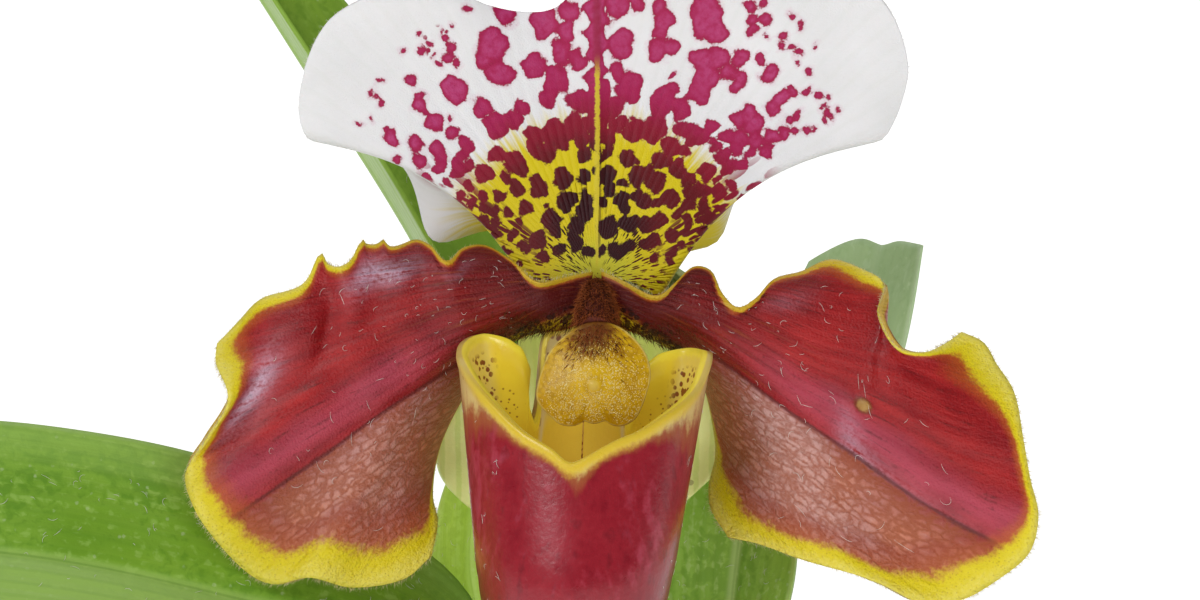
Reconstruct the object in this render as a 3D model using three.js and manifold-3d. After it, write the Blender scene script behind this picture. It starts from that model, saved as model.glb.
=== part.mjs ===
// A slipper orchid (paphiopedilum hybrid) in flower, standing in a plain clay pot.
// Millimetres, +Z up, the pot's underside centred on the origin, the flower facing -Y.
import * as THREE from "three";
import { mergeVertices } from "three/addons/utils/BufferGeometryUtils.js";
import Module from "manifold-3d";

const wasm = await Module();
wasm.setup();

// ---------- driving dimensions ----------
const POT_HEIGHT = 105;
const POT_RIM_RADIUS = 62;
const POT_FOOT_RADIUS = 44;
const POT_WALL = 5;
const CROWN_HEIGHT = 100; // where the leaves leave the bark
const CROWN_RADIUS = 14; // the hole in the bark that the leaf bases and the stem stand in
const CROWN_DEPTH = 9;
const FLOWER_CENTRE = [0, -16, 242]; // where petals, sepals, pouch and column meet
const FLOWER_TILT = THREE.MathUtils.degToRad(-8); // the flower looks slightly upwards
const SEAT_GAP = 0.35; // clearance between pieces that touch

const PETAL_THICKNESS = 1.0;
const PETAL_EDGE = 0.7;
const LEAF_THICKNESS = 0.9;
const LEAF_EDGE = 0.6;

const { degToRad, lerp, clamp, smoothstep } = THREE.MathUtils;

// ---------- finishes ----------
const finish = (color, roughness) =>
  new THREE.MeshStandardMaterial({ color, roughness, metalness: 0 });
const FINISHES = {
  sepal: finish(0xe9e6df, 0.6),
  petal: finish(0x9c2a2c, 0.4),
  pouch: finish(0x8e1826, 0.35),
  column: finish(0x6a2c22, 0.8),
  staminode: finish(0xd2a41c, 0.7),
  synsepal: finish(0xcfd69a, 0.6),
  bract: finish(0xb9c77c, 0.6),
  ovary: finish(0x74873f, 0.7),
  stem: finish(0x5d6b35, 0.8),
  leaf: finish(0x4f8a2a, 0.45),
  bark: finish(0x5a3d28, 0.9),
  clay: finish(0xb2653f, 0.85),
};

// ---------- geometry helpers ----------

/** A smooth curve through a few points, read by its share of length from 0 to 1. */
function through(points) {
  const curve = new THREE.CatmullRomCurve3(points.map((p) => new THREE.Vector3(...p)));
  curve.curveType = "centripetal";
  return curve;
}

/** A number that varies smoothly along a row of [position, value] stops. */
function along(stops, x) {
  const last = stops.length - 1;
  if (x <= stops[0][0]) return stops[0][1];
  if (x >= stops[last][0]) return stops[last][1];
  const i = stops.findIndex((stop) => stop[0] > x) - 1;
  const slope = (k) => {
    const low = stops[Math.max(k - 1, 0)];
    const high = stops[Math.min(k + 1, last)];
    return (high[1] - low[1]) / (high[0] - low[0]);
  };
  const [x0, y0] = stops[i];
  const [x1, y1] = stops[i + 1];
  const span = x1 - x0;
  const t = (x - x0) / span;
  const h = t * t * (3 - 2 * t);
  const rise = t * (1 - t) * (1 - t) * span;
  const fall = t * t * (t - 1) * span;
  return y0 * (1 - h) + y1 * h + rise * slope(i) + fall * slope(i + 1);
}

/** A closed geometry, its faces pointing outwards, from points and triangles. */
function closedGeometry(points, triangles) {
  const flat = points.flatMap((p) => [p.x, p.y, p.z]);
  const volume = triangles.reduce((sum, [a, b, c]) => {
    const normal = new THREE.Vector3().crossVectors(points[b], points[c]);
    return sum + points[a].dot(normal);
  }, 0);
  const outward = volume > 0 ? triangles : triangles.map(([a, b, c]) => [a, c, b]);
  return new THREE.BufferGeometry()
    .setAttribute("position", new THREE.Float32BufferAttribute(flat, 3))
    .setIndex(outward.flat());
}

/**
 * The closed solid of a thin sheet. middle(a, b) is its middle surface for a and b from 0 to 1, and
 * thick(a, b) its thickness. ring joins b = 1 to b = 0, and pole draws the row a = 0 to one point.
 * Both faces are split into triangles alike, so a waved sheet never crosses itself.
 */
function sheet(middle, thick, rows, columns, { ring = false, pole = false } = {}) {
  const across = ring ? columns : columns + 1;
  const grid = [];
  for (let i = 0; i <= rows; i++) {
    grid.push([]);
    for (let j = 0; j < across; j++) grid[i].push(middle(i / rows, j / columns));
  }
  const at = (i, j) => {
    const row = grid[clamp(i, 0, rows)];
    return row[ring ? (j + across) % across : clamp(j, 0, across - 1)];
  };
  const normalAt = (i, j) => {
    const lengthways = at(i + 1, j).clone().sub(at(i - 1, j));
    const crossways = at(i, j + 1).clone().sub(at(i, j - 1));
    return lengthways.cross(crossways).normalize();
  };
  const poleNormal = new THREE.Vector3();
  for (let j = 0; j < across; j++) poleNormal.add(normalAt(1, j));
  poleNormal.normalize();

  const points = [];
  const ids = [[], []];
  [1, -1].forEach((side, face) => {
    for (let i = 0; i <= rows; i++) {
      ids[face].push([]);
      for (let j = 0; j < across; j++) {
        const single = pole && i === 0;
        if (single && j > 0) {
          ids[face][i].push(ids[face][0][0]);
          continue;
        }
        const normal = single ? poleNormal : normalAt(i, j);
        const half = (side * thick(i / rows, j / columns)) / 2;
        ids[face][i].push(points.length);
        points.push(grid[i][j].clone().addScaledVector(normal, half));
      }
    }
  });
  const id = (face, i, j) => ids[face][i][ring ? j % across : j];
  const triangles = [];
  const add = (a, b, c) => {
    if (a !== b && b !== c && a !== c) triangles.push([a, b, c]);
  };
  for (let i = 0; i < rows; i++)
    for (let j = 0; j < columns; j++) {
      const corners = (f) => [id(f, i, j), id(f, i + 1, j), id(f, i + 1, j + 1), id(f, i, j + 1)];
      const [a, b, c, d] = corners(0);
      const [e, f, g, h] = corners(1);
      add(a, b, c);
      add(a, c, d);
      add(e, g, f);
      add(e, h, g);
    }
  const wall = (i0, j0, i1, j1) => {
    const [p, q, r, s] = [id(0, i0, j0), id(0, i1, j1), id(1, i0, j0), id(1, i1, j1)];
    add(q, p, r);
    add(q, r, s);
  };
  for (let j = 0; j < columns; j++) {
    wall(rows, j, rows, j + 1);
    if (!pole) wall(0, j + 1, 0, j);
  }
  if (!ring)
    for (let i = 0; i < rows; i++) {
      wall(i, 0, i + 1, 0);
      wall(i + 1, columns, i, columns);
    }
  return closedGeometry(points, triangles);
}

/** A closed stalk along a curve: radius(s, angle) is its outline at each share s of the length. */
function stalk(curve, radius, sides, steps) {
  const frames = curve.computeFrenetFrames(steps, false);
  const points = [];
  for (let i = 0; i <= steps; i++) {
    const centre = curve.getPointAt(i / steps);
    for (let j = 0; j < sides; j++) {
      const angle = (2 * Math.PI * j) / sides;
      const reach = radius(i / steps, angle);
      points.push(
        centre
          .clone()
          .addScaledVector(frames.normals[i], reach * Math.cos(angle))
          .addScaledVector(frames.binormals[i], reach * Math.sin(angle)),
      );
    }
  }
  const triangles = [];
  const first = points.push(curve.getPointAt(0)) - 1;
  const last = points.push(curve.getPointAt(1)) - 1;
  for (let j = 0; j < sides; j++) {
    const k = (j + 1) % sides;
    for (let i = 0; i < steps; i++) {
      const [a, b] = [i * sides + j, i * sides + k];
      triangles.push([a, b, b + sides], [a, b + sides, a + sides]);
    }
    triangles.push([first, k, j], [last, steps * sides + j, steps * sides + k]);
  }
  return closedGeometry(points, triangles);
}

function solidOf(geometry) {
  const plain = geometry.clone();
  plain.deleteAttribute("normal");
  plain.deleteAttribute("uv");
  const merged = mergeVertices(plain, 1e-4);
  return new wasm.Manifold(
    new wasm.Mesh({
      numProp: 3,
      vertProperties: new Float32Array(merged.attributes.position.array),
      triVerts: new Uint32Array(merged.index.array),
    }),
  );
}

function geometryOf(solid) {
  const mesh = solid.getMesh();
  return new THREE.BufferGeometry()
    .setAttribute("position", new THREE.BufferAttribute(mesh.vertProperties, 3))
    .setIndex(new THREE.BufferAttribute(mesh.triVerts, 1));
}

/** The largest body of a solid, with any hollow that joining sealed in it filled. */
function wholeBody(solid) {
  return solid.decompose().reduce((best, body) => (body.volume() > best.volume() ? body : best));
}

function piece(name, geometry, material) {
  const mesh = new THREE.Mesh(geometry, material);
  mesh.name = name;
  return mesh;
}

/**
 * A patch stretched between four edges: low and high run from base to tip, foot and end across.
 * sideFade and endFade are 1 where an edge pulls on the whole patch, and more where its waves stay
 * close to it.
 */
function patch({ low, high, foot, end }, a, b, sideFade, endFade) {
  const [toLow, toHigh] = [(1 - b) ** sideFade, b ** sideFade];
  const [toFoot, toEnd] = [(1 - a) ** endFade, a ** endFade];
  const point = new THREE.Vector3();
  point.addScaledVector(low.getPointAt(a), toLow).addScaledVector(high.getPointAt(a), toHigh);
  point.addScaledVector(foot.getPointAt(b), toFoot).addScaledVector(end.getPointAt(b), toEnd);
  point.addScaledVector(low.getPointAt(0), -toLow * toFoot);
  point.addScaledVector(low.getPointAt(1), -toLow * toEnd);
  point.addScaledVector(high.getPointAt(0), -toHigh * toFoot);
  point.addScaledVector(high.getPointAt(1), -toHigh * toEnd);
  return point;
}

/** The thickness of a petal or sepal, which thins out to its margin. */
function petalThickness(a, b) {
  const inside = Math.min(1, 8 * (1 - a), 8 * b, 8 * (1 - b));
  return lerp(PETAL_EDGE, PETAL_THICKNESS, inside);
}

// ---------- the two petals ----------
// Edges in the flower's own frame: x to the viewer's right, y away, z up.
const PETAL_BULGE = 4; // how far the middle of a petal stands out towards the viewer
const RUFFLE_FADE = 4; // how close to the margin a petal's waves stay
const END_FADE = 4; // how close to its end the outline of the end pulls the blade outwards

const LEFT_PETAL = {
  high: [
    [-0.7, -0.6, 2.3], [-5.2, -2.5, 1.3], [-8.2, -4, 0.8], [-12.1, -1, 3.7], [-16.1, 1.5, 5.8],
    [-18.9, 0, 5.4], [-21.1, -3.5, 3.6], [-23.5, -1, 5.9], [-25.6, 1, 6.6], [-28.9, -0.5, 5.5],
    [-32.7, 0.5, 5.6], [-35.7, -3, 2.9], [-39, -0.5, 3.1], [-41.6, -3, 0.1], [-47, -2, -1.7],
    [-50.3, 0, -4.8], [-53.3, -2, -8],
  ],
  end: [
    [-23.4, 2, -37.9], [-27.1, 1, -41], [-34.5, -1, -42.1], [-40.1, -4, -40.5], [-45.2, -2, -41.6],
    [-48.4, -2, -40.4], [-53.7, -5, -34.5], [-56.1, -6, -30.4], [-57.4, -4, -25.7],
    [-54.4, -6, -20.9], [-51.1, -8, -15.5], [-53.2, -4, -10.5], [-53.3, -2, -8],
  ],
  low: [
    [-2.2, -1.2, -4.6], [-4.5, -0.9, -5.7], [-6.7, -0.4, -5.9], [-8.8, 1.2, -6.2],
    [-10.7, 2.8, -6.8], [-13.1, 4, -8.1], [-16.7, 5, -11.7], [-20, 6.5, -16.7],
    [-22.9, 7, -23.2], [-23.7, 6, -29.6], [-22.8, 4, -33.3], [-23.4, 2, -37.9],
  ],
};

const RIGHT_PETAL = {
  high: [
    [0.7, -0.6, 2.3], [4.2, -2, 0.7], [8.1, -4, -1.1], [10.8, -2, 0.3], [13.9, -0.2, 2.8],
    [15.8, -0.3, 2.3], [17.4, -2.5, -0.9], [19.6, -4, -2.9], [22.4, -2.5, -1.6], [25.2, 0, 1.1],
    [28.9, 1, 2.1], [33.1, 1.5, 3.8], [37.1, 1, 2.6], [40.4, -1, 0.6], [39.4, -5, -3.6],
    [41.8, -6, -8.2], [45.6, -5, -9], [48.5, -2.5, -8], [51.2, -0.5, -6.3],
  ],
  end: [
    [18.5, 1, -35.2], [23.3, 0, -36.2], [28.8, -2, -38], [34.7, -4, -39.6], [39.6, -4, -41.4],
    [45.9, -3, -44.3], [51, -2, -43.8], [56.4, -3, -40.6], [60.4, -4, -36.9], [61.5, -5, -31.7],
    [60.4, -5, -26.8], [59.4, -5, -21.2], [58.3, -3, -14.6], [56.1, -1, -10.8], [54.4, 0, -7.8],
    [51.2, -0.5, -6.3],
  ],
  low: [
    [2, -1.2, -4.4], [3.6, -1, -5.5], [5.5, -0.5, -6.1], [7.5, 1, -6.9], [9.6, 2.6, -8],
    [11.5, 4, -9], [13.3, 5, -10.2], [15.4, 6, -13.8],
    [16.7, 7, -18.9], [17.2, 7, -23.9], [16.1, 5, -28.5], [16.3, 3, -31.5], [18.5, 1, -35.2],
  ],
};

function petal(name, { high, end, low }) {
  const edges = {
    high: through(high),
    end: through(end),
    low: through(low),
    foot: new THREE.LineCurve3(new THREE.Vector3(...low[0]), new THREE.Vector3(...high[0])),
  };
  const middle = (a, b) => {
    const point = patch(edges, a, b, 1, END_FADE);
    const bulge = Math.sin(Math.PI * b) ** 0.8 * Math.sin(Math.PI * a ** 0.9) ** 0.8;
    point.y = patch(edges, a, b, RUFFLE_FADE, RUFFLE_FADE).y - PETAL_BULGE * bulge;
    return point;
  };
  return piece(name, sheet(middle, petalThickness, 26, 16), FINISHES.petal);
}

// ---------- the dorsal sepal ----------
const SEPAL_SPREAD = 92; // degrees from its midrib to each side's lowest point, laid flat
const SEPAL_CLAW = 4.5; // half the width of its foot
const SEPAL_FOOT = [2.6, 1.0]; // depth and height of its foot
const SEPAL_REACH = [ // degrees from the midrib, and millimetres from the foot to the margin
  [-92, 19], [-87, 23.5], [-82, 27], [-77, 30], [-72, 34], [-68, 39.5], [-65, 44.5], [-62, 48],
  [-57, 50.5], [-47, 53], [-40, 52], [-30, 49], [-22, 42.5], [-14, 39.6], [-7, 40], [2, 46],
  [12, 48], [26, 51], [38, 55], [46, 56.5], [55, 54], [60, 50], [63, 46.5], [66, 42], [69, 38],
  [73, 33.5], [78, 30], [83, 27], [88, 23.5], [92, 19],
];
const SEPAL_HEIGHT = 50; // over which it bows backwards
const SEPAL_BOW = 4.5;
const HOOD_START = 25; // height above which its top leans forwards
const HOOD_RATE = 0.012;
const CUP_RATE = 0.004; // how the lower sides lie back from the midrib
const TIP_DENT = { degrees: -14, width: 11, depth: 2 }; // where the margin turns back most
const MARGIN_TURN = 1.6;
const FOLD_START = 9.5; // half-width where the sides begin to roll back, at the foot
const FOLD_RISE = 23; // height that the fold line runs up to
const FOLD_RUN = 13; // how quickly it runs there
const FOLD_TURN = 1.1; // radius of the turn
const FOLD_TUCK = 0.22; // how the rolled side then leans in behind the front
const FLARE_START = 4; // distance past the fold where the lobe at each side opens outwards again
const SIDE_LOBES = { // how strongly, how far out and over what width
  left: { flare: 0.15, centre: 26, width: 5 },
  right: { flare: 0.11, centre: 20, width: 5 },
};

function dorsalPoint(a, b) {
  const t = 2 * b - 1;
  const degrees = t * SEPAL_SPREAD;
  const reach = along(SEPAL_REACH, degrees);
  const side = Math.sign(t) || 1;
  const shareOut = a ** 0.9;
  let x = Math.abs((1 - shareOut) * SEPAL_CLAW * t + shareOut * reach * Math.sin(degToRad(degrees)));
  let z = shareOut * reach * Math.cos(degToRad(degrees));
  const [footDepth, footHeight] = SEPAL_FOOT;
  // bowed backwards above the foot, hooded forwards at the top and cupped across
  const height = clamp(z / SEPAL_HEIGHT, 0, 1);
  let y = footDepth + SEPAL_BOW * Math.sin(Math.PI * height);
  y -= HOOD_RATE * Math.max(0, z - HOOD_START) ** 2 + 0.003 * x * x * height;
  y += CUP_RATE * x * x * clamp(1 - z / 30, 0, 1);
  // the margin turns back a little, most at the dent left of the tip
  const dent = Math.exp(-(((degrees - TIP_DENT.degrees) / TIP_DENT.width) ** 2));
  y += MARGIN_TURN * a ** 8 + TIP_DENT.depth * a ** 5 * dent;
  // everything below the fold line is rolled back behind it
  const lift = Math.exp(-(x - FOLD_START) / FOLD_RUN);
  const slope = Math.atan((FOLD_RISE / FOLD_RUN) * lift);
  const beyond = (FOLD_RISE * (1 - lift) - z) * Math.cos(slope);
  if (beyond > 0) {
    const lobe = side < 0 ? SIDE_LOBES.left : SIDE_LOBES.right;
    const flare = lobe.flare * Math.exp(-(((x - lobe.centre) / lobe.width) ** 2));
    const turned = FOLD_TURN * (1 - Math.exp(-beyond / FOLD_TURN)) - FOLD_TUCK * beyond;
    const kept = turned + flare * Math.max(0, beyond - FLARE_START) ** 2;
    x += (kept - beyond) * Math.sin(slope);
    z -= (kept - beyond) * Math.cos(slope);
    y += (beyond * beyond) / (beyond + 2.5);
  }
  return new THREE.Vector3(side * x, y, footHeight + z);
}

function dorsalSepal() {
  return piece("dorsal_sepal", sheet(dorsalPoint, petalThickness, 16, 34), FINISHES.sepal);
}

// ---------- the synsepal, behind the pouch ----------
const SYNSEPAL_FOOT = [0, 3.8, -7.4];
const SYNSEPAL_LENGTH = 34;
const SYNSEPAL_SHOULDER = 4; // how far its sides rise past the ovary at its foot
const SYNSEPAL_WIDTHS = [ // share of its length, and half its width
  [0, 7.5], [0.2, 13], [0.4, 19], [0.56, 20.7], [0.71, 18], [0.81, 13], [0.91, 7.5], [1, 2],
];

function synsepalPoint(a, b) {
  const t = 2 * b - 1;
  const [footX, footY, footZ] = SYNSEPAL_FOOT;
  const x = footX + t * along(SYNSEPAL_WIDTHS, a) - 4.5 * a;
  const bowed = 10 * Math.sin((Math.PI / 2) * Math.min(1, 1.6 * a)) - 3 * a * a;
  const cupped = -0.006 * x * x + 1.2 * Math.sin(5 * Math.PI * a) * t * t;
  const raised = lerp(SYNSEPAL_SHOULDER, 2, a) * t * t;
  const y = footY + bowed + cupped + 1.2 * t * t;
  return new THREE.Vector3(x, y, footZ - SYNSEPAL_LENGTH * a + raised);
}

function synsepal() {
  return piece("synsepal", sheet(synsepalPoint, () => PETAL_THICKNESS, 12, 10), FINISHES.synsepal);
}

// ---------- the pouch ----------
const POUCH_TOE = -54.5; // height of its lowest point
const POUCH_DOME = 18; // height of the rounded toe
const POUCH_HALF_WIDTH = 12.8; // at the top of the toe
const POUCH_HALF_DEPTH = 13.6;
const POUCH_FLARE = 0.135; // how its half-width grows with height above the toe
const POUCH_NARROWING = 0.06; // how its half-depth falls with height
const POUCH_LEAN = [-3.6, 0.042, -16.5, 0.13]; // x and its rise, y and its rise, with height
const EAR_CURL = { amount: 0.13, degrees: 145, width: 14 }; // how the hind edges curl inwards
const POUCH_WALL = 1.2;
const POUCH_RIM = [ // degrees from the front, left negative, and the height of the rim
  [-180, -5.2], [-164, -5.6], [-158, -8], [-154, -17.5], [-148, -17.5], [-145, -10], [-140, -7.8],
  [-133, -6.8], [-120, -6.5], [-105, -7.4], [-90, -8.8], [-75, -10.4], [-52, -14.6], [-31, -19],
  [-14, -22.2], [-6, -24.2], [-1, -24.2], [17, -21], [30, -19.2], [44, -17.2], [60, -15],
  [72, -13], [82, -10.4], [92, -9], [105, -8.6], [122, -8.5], [134, -8.9], [140, -9.8], [145, -12],
  [148, -17.8], [154, -17.8], [158, -8], [164, -5.6], [180, -5.2],
];
// share of the way round from the front, and the angle there: closest together at the slits
const POUCH_COLUMNS = [[0, 0], [0.5, 105], [0.64, 136], [0.76, 151], [0.86, 160], [1, 180]];

function pouchPoint(a, b) {
  const round = b < 0.5 ? 2 * b : 2 * b - 2;
  const degrees = Math.sign(round) * along(POUCH_COLUMNS, Math.abs(round));
  const turn = degToRad(degrees);
  const rim = along(POUCH_RIM, degrees);
  const z = lerp(POUCH_TOE, rim, 1 - Math.cos((Math.PI / 2) * a ** 0.9));
  const aboveToe = z - POUCH_TOE;
  const dome = Math.sqrt(1 - clamp(1 - aboveToe / POUCH_DOME, 0, 1) ** 2);
  const halfWidth = (POUCH_HALF_WIDTH + POUCH_FLARE * Math.max(0, aboveToe - 15)) * dome;
  const halfDepth = (POUCH_HALF_DEPTH - POUCH_NARROWING * Math.max(0, aboveToe - 15)) * dome;
  // above the mouth the hind part of each ear curls in and forwards
  const ear = smoothstep(aboveToe, 26, 44);
  const hind = Math.exp(-(((Math.abs(degrees) - EAR_CURL.degrees) / EAR_CURL.width) ** 2));
  const curl = 1 - EAR_CURL.amount * ear * hind;
  const x = halfWidth * Math.sin(turn) * curl;
  const y = -halfDepth * Math.cos(turn) * curl;
  const [xAtToe, xRise, yAtToe, yRise] = POUCH_LEAN;
  return new THREE.Vector3(x + xAtToe + xRise * aboveToe, y + yAtToe + yRise * aboveToe, z);
}

function pouch() {
  const solid = sheet(pouchPoint, () => POUCH_WALL, 12, 40, { ring: true, pole: true });
  return piece("pouch", solid, FINISHES.pouch);
}

// ---------- column and staminode ----------
const SHIELD_CENTRE = [-0.5, -11.2, -12.3];
const SHIELD_REACH = [ // degrees clockwise from the top, and millimetres from the centre
  [0, 6.9], [16, 7.1], [28, 7], [56, 7], [81, 7.25], [96, 7.2], [117, 7.4], [132, 7.7],
  [145, 7.9], [158, 7.6], [168, 6.5], [190, 6.4], [201, 7.5], [213, 8.1], [228, 8.5], [243, 8.8],
  [253, 8.4], [269, 7.6], [284, 7.3], [300, 7], [331, 6.8], [346, 7], [360, 6.9],
];
const SHIELD_TILT = 0.18; // forward lean of its lower edge, per millimetre

function shieldPoint(a, b) {
  const reach = a * along(SHIELD_REACH, 360 * b);
  const x = reach * Math.sin(2 * Math.PI * b);
  const z = reach * Math.cos(2 * Math.PI * b);
  const dome = 1.8 * (1 - a * a) + 0.5 * Math.exp(-((a / 0.18) ** 2));
  const [cx, cy, cz] = SHIELD_CENTRE;
  return new THREE.Vector3(cx + x, cy - dome + SHIELD_TILT * z, cz + z);
}

function staminode() {
  const solid = sheet(shieldPoint, () => 1.4, 5, 24, { ring: true, pole: true });
  return piece("staminode", solid, FINISHES.staminode);
}

function column() {
  const line = through([[0, -1.5, 0.6], [0, -3.4, -0.6], [-0.1, -6, -2.8], [-0.2, -8.95, -5.7]]);
  const radius = (s) => along([[0, 1], [0.35, 1.9], [0.75, 2.5], [1, 2.3]], s);
  return piece("column", stalk(line, radius, 12, 6), FINISHES.column);
}

// ---------- ovary, bract and stem ----------
const OVARY_LINE = [ // from the flower back and down to the stem, in the flower's own frame
  [0, 2.7, -3], [1.5, 8, -2.6], [6, 17, -2], [12, 26.5, -6], [16.6, 33.5, -15], [18, 36.6, -26],
];
const OVARY_RADII = [[0, 3.2], [0.06, 3.6], [0.2, 2.8], [0.55, 3.5], [0.85, 3.0], [1, 2.4]];
const RIB_COUNT = 6;
const RIB_DEPTH = 0.35;
const STEM_LINE = [ // from the plant's crown up to the ovary, in the plant's frame
  [0, 0, 91.4], [0, 0, 115], [0, 0, 140], [2, 3, 158], [6, 9.5, 180], [12, 15.5, 197.3],
  [17, 17, 204.3], [18, 16.8, 209.9],
];
const STEM_RADII = [2.5, 2.2]; // at its foot and at its top
const BRACT_START = 0.985; // share of the ovary's length where the bract begins, by the stem
const BRACT_REACH = 0.62; // share of the ovary's length that the bract covers
const BRACT_WRAP = [[0, 2.5], [0.35, 2.0], [0.75, 1.2], [1, 0.3]]; // radians round to each side
const BRACT_THICKNESS = 0.8;
const BRACT_RADII = [[0, 4.0], [0.3, 5.2], [0.7, 6.4], [1, 6.6]];
const BRACT_OUTWARD = new THREE.Vector3(0.45, 0.35, 0.85); // the side of the ovary it covers

function ovary() {
  const radius = (s, angle) => along(OVARY_RADII, s) + RIB_DEPTH * Math.cos(RIB_COUNT * angle);
  return piece("ovary", stalk(through(OVARY_LINE), radius, 18, 14), FINISHES.ovary);
}

function bract() {
  const line = through(OVARY_LINE);
  const middle = (a, b) => {
    const s = BRACT_START - BRACT_REACH * a;
    const centre = line.getPointAt(s);
    const forward = line.getTangentAt(s);
    const outward = BRACT_OUTWARD.clone().addScaledVector(forward, -BRACT_OUTWARD.dot(forward));
    outward.normalize();
    const sideways = forward.clone().cross(outward);
    const wrap = along(BRACT_WRAP, a) * (2 * b - 1);
    const radius = along(BRACT_RADII, a);
    return centre
      .addScaledVector(outward, radius * Math.cos(wrap))
      .addScaledVector(sideways, radius * Math.sin(wrap));
  };
  return piece("bract", sheet(middle, () => BRACT_THICKNESS, 8, 10), FINISHES.bract);
}

function stem() {
  const radius = (s) => lerp(...STEM_RADII, s);
  return piece("flower_stem", stalk(through(STEM_LINE), radius, 10, 22), FINISHES.stem);
}

// ---------- leaves ----------
const LEAF_WIDTHS = [ // share of the length, and share of the greatest half-width
  [0, 0.42], [0.15, 0.45], [0.35, 0.61], [0.55, 0.96], [0.68, 1], [0.82, 0.88], [0.91, 0.68],
  [0.97, 0.4], [1, 0.12],
];

// A leaf's tip: depth of the small notch at its midrib, the share of its taper that is missing, and
// how far the corner on the left of the midrib falls short of the other.
const LEAF_TIP = { notch: 2.5, blunt: 0, fall: 0 };
const SHEATH_STEP = 1.3; // radius by which each sheath clears the one inside it
const INNERMOST_SHEATH = 3.7;
const SHEATH_WRAP = 1.13; // radians that a sheath reaches round the crown to each side
const LOWEST_PARTING = 108; // height where the outermost leaf leaves the fan
const PARTING_STEP = 5;
const SHEATH_OPENING = 60; // distance past the sheath over which a leaf opens out flat
const TWIST_RANGE = [10, 100]; // distances past the sheath between which a leaf twists
const LEAF_ROWS = 13;
const LEAF_COLUMNS = 8;

/**
 * The leaves from the outermost to the innermost. heading is the direction that each leaves the
 * crown in, in degrees from +X; halfWidth the blade's; twist turns the blade about its rib, in
 * degrees, towards the tip; channel is the angle each half is raised by; rib runs to the tip.
 */
const LEAVES = [
  { name: "leaf_front_right", heading: -14, halfWidth: 20, twist: 8, channel: 14,
    rib: [[26, -7, 128], [58, -15, 148], [100, -26, 150], [138, -35, 128]] },
  { name: "leaf_back_left", heading: 150, halfWidth: 19, twist: -6, channel: 14,
    rib: [[-23, 13, 132], [-52, 29, 151], [-90, 50, 152], [-124, 68, 132]] },
  { name: "leaf_back_right", heading: 34, halfWidth: 19, twist: 6, channel: 15,
    rib: [[19, 13, 135], [44, 32, 154], [78, 57, 157], [108, 80, 142]] },
  { name: "leaf_left", heading: 203, halfWidth: 20, twist: -46, channel: 8,
    rib: [[-10, -4.5, 140], [-14, -9, 166], [-23, -16, 188], [-52, -24, 199.5], [-82, -30, 207],
      [-116, -35, 209], [-150, -38, 200]] },
  { name: "leaf_right_inner", heading: -20, halfWidth: 14, twist: 88, channel: 4,
    rib: [[12, -7.5, 143], [17, -12, 162], [18, -10, 178], [19.5, -6.5, 194], [21, -4, 206],
      [22.5, -2, 218]] },
  { name: "leaf_left_inner", heading: 165, halfWidth: 9, twist: -62, channel: 10,
    rib: [[-7.5, 5.5, 147], [-9.5, 10.6, 166], [-15, 11, 180], [-19, 8, 194], [-18.5, 6, 206],
      [-17, 5, 217]] },
  { name: "leaf_right_tall", heading: 40, halfWidth: 15, twist: 2, channel: 12,
    tip: { notch: 1.3, blunt: 0.085, fall: 6.5 },
    rib: [[6, 9, 152], [10, 14, 168], [18.5, 20.5, 189], [36, 26.5, 217], [44.8, 31, 243.5]] },
  { name: "leaf_left_tall", heading: 145, halfWidth: 14.5, twist: 12, channel: 29,
    rib: [[-4, 4, 155], [-8, 11, 196], [-16, 18, 222], [-28, 22, 245], [-45, 25, 272],
      [-61, 28, 297]] },
];

function leaf({ name, heading, halfWidth, twist, channel, rib, tip = LEAF_TIP }, order) {
  const clasp = INNERMOST_SHEATH + SHEATH_STEP * (LEAVES.length - 1 - order);
  const bearing = degToRad(heading);
  const outward = new THREE.Vector3(Math.cos(bearing), Math.sin(bearing), 0);
  const level = new THREE.Vector3(-outward.y, outward.x, 0);
  const foot = CROWN_HEIGHT - CROWN_DEPTH + SEAT_GAP;
  const parting = LOWEST_PARTING + PARTING_STEP * order;
  const sheath = [foot, (foot + parting) / 2, parting - 5, parting];
  const line = through([...sheath.map((z) => [clasp * outward.x, clasp * outward.y, z]), ...rib]);
  const length = line.getLength();
  const middle = (a, b) => {
    const t = 2 * b - 1;
    const short = tip.notch * Math.exp(-((t / 0.3) ** 2)) + tip.fall * Math.max(0, t) ** 2;
    const s = (1 - (short * a ** 12) / length) * a ** 0.85;
    const forward = line.getTangentAt(s);
    const side = level.clone().addScaledVector(forward, -level.dot(forward)).normalize();
    const pastSheath = Math.max(0, s * length - (parting - foot));
    side.applyAxisAngle(forward, degToRad(twist) * smoothstep(pastSheath, ...TWIST_RANGE));
    const upper = forward.clone().cross(side);
    const reach = halfWidth * along(LEAF_WIDTHS, s * (1 - tip.blunt)) * t;
    const radius = clasp + pastSheath ** 2 / SHEATH_OPENING;
    const bend = clamp(reach / radius, -SHEATH_WRAP, SHEATH_WRAP);
    const opened = smoothstep(pastSheath, 0, SHEATH_OPENING);
    const raised = Math.abs(reach) * Math.tan(degToRad(channel)) * opened;
    return line
      .getPointAt(s)
      .addScaledVector(side, radius * Math.sin(bend))
      .addScaledVector(upper, radius * (1 - Math.cos(bend)) + raised);
  };
  const thick = (a, b) => lerp(LEAF_EDGE, LEAF_THICKNESS, Math.min(1, 6 * b, 6 * (1 - b)));
  return piece(name, sheet(middle, thick, LEAF_ROWS, LEAF_COLUMNS), FINISHES.leaf);
}

// ---------- bark and pot ----------
const FLOOR = 6; // thickness of the pot's floor
const RIM_BAND = 18; // height of the thick band under the rim
const BARK_CHIPS = 42;
const BARK_EDGE = 44; // radius that the bark chips reach out to
const CHIP_LEAN = 0.35; // radians that a chip may lean either way
const DRAIN_HOLES = 3;
const DRAIN_RADIUS = 5;
const DRAIN_CIRCLE = 24; // radius of the circle that the drain holes lie on

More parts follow.
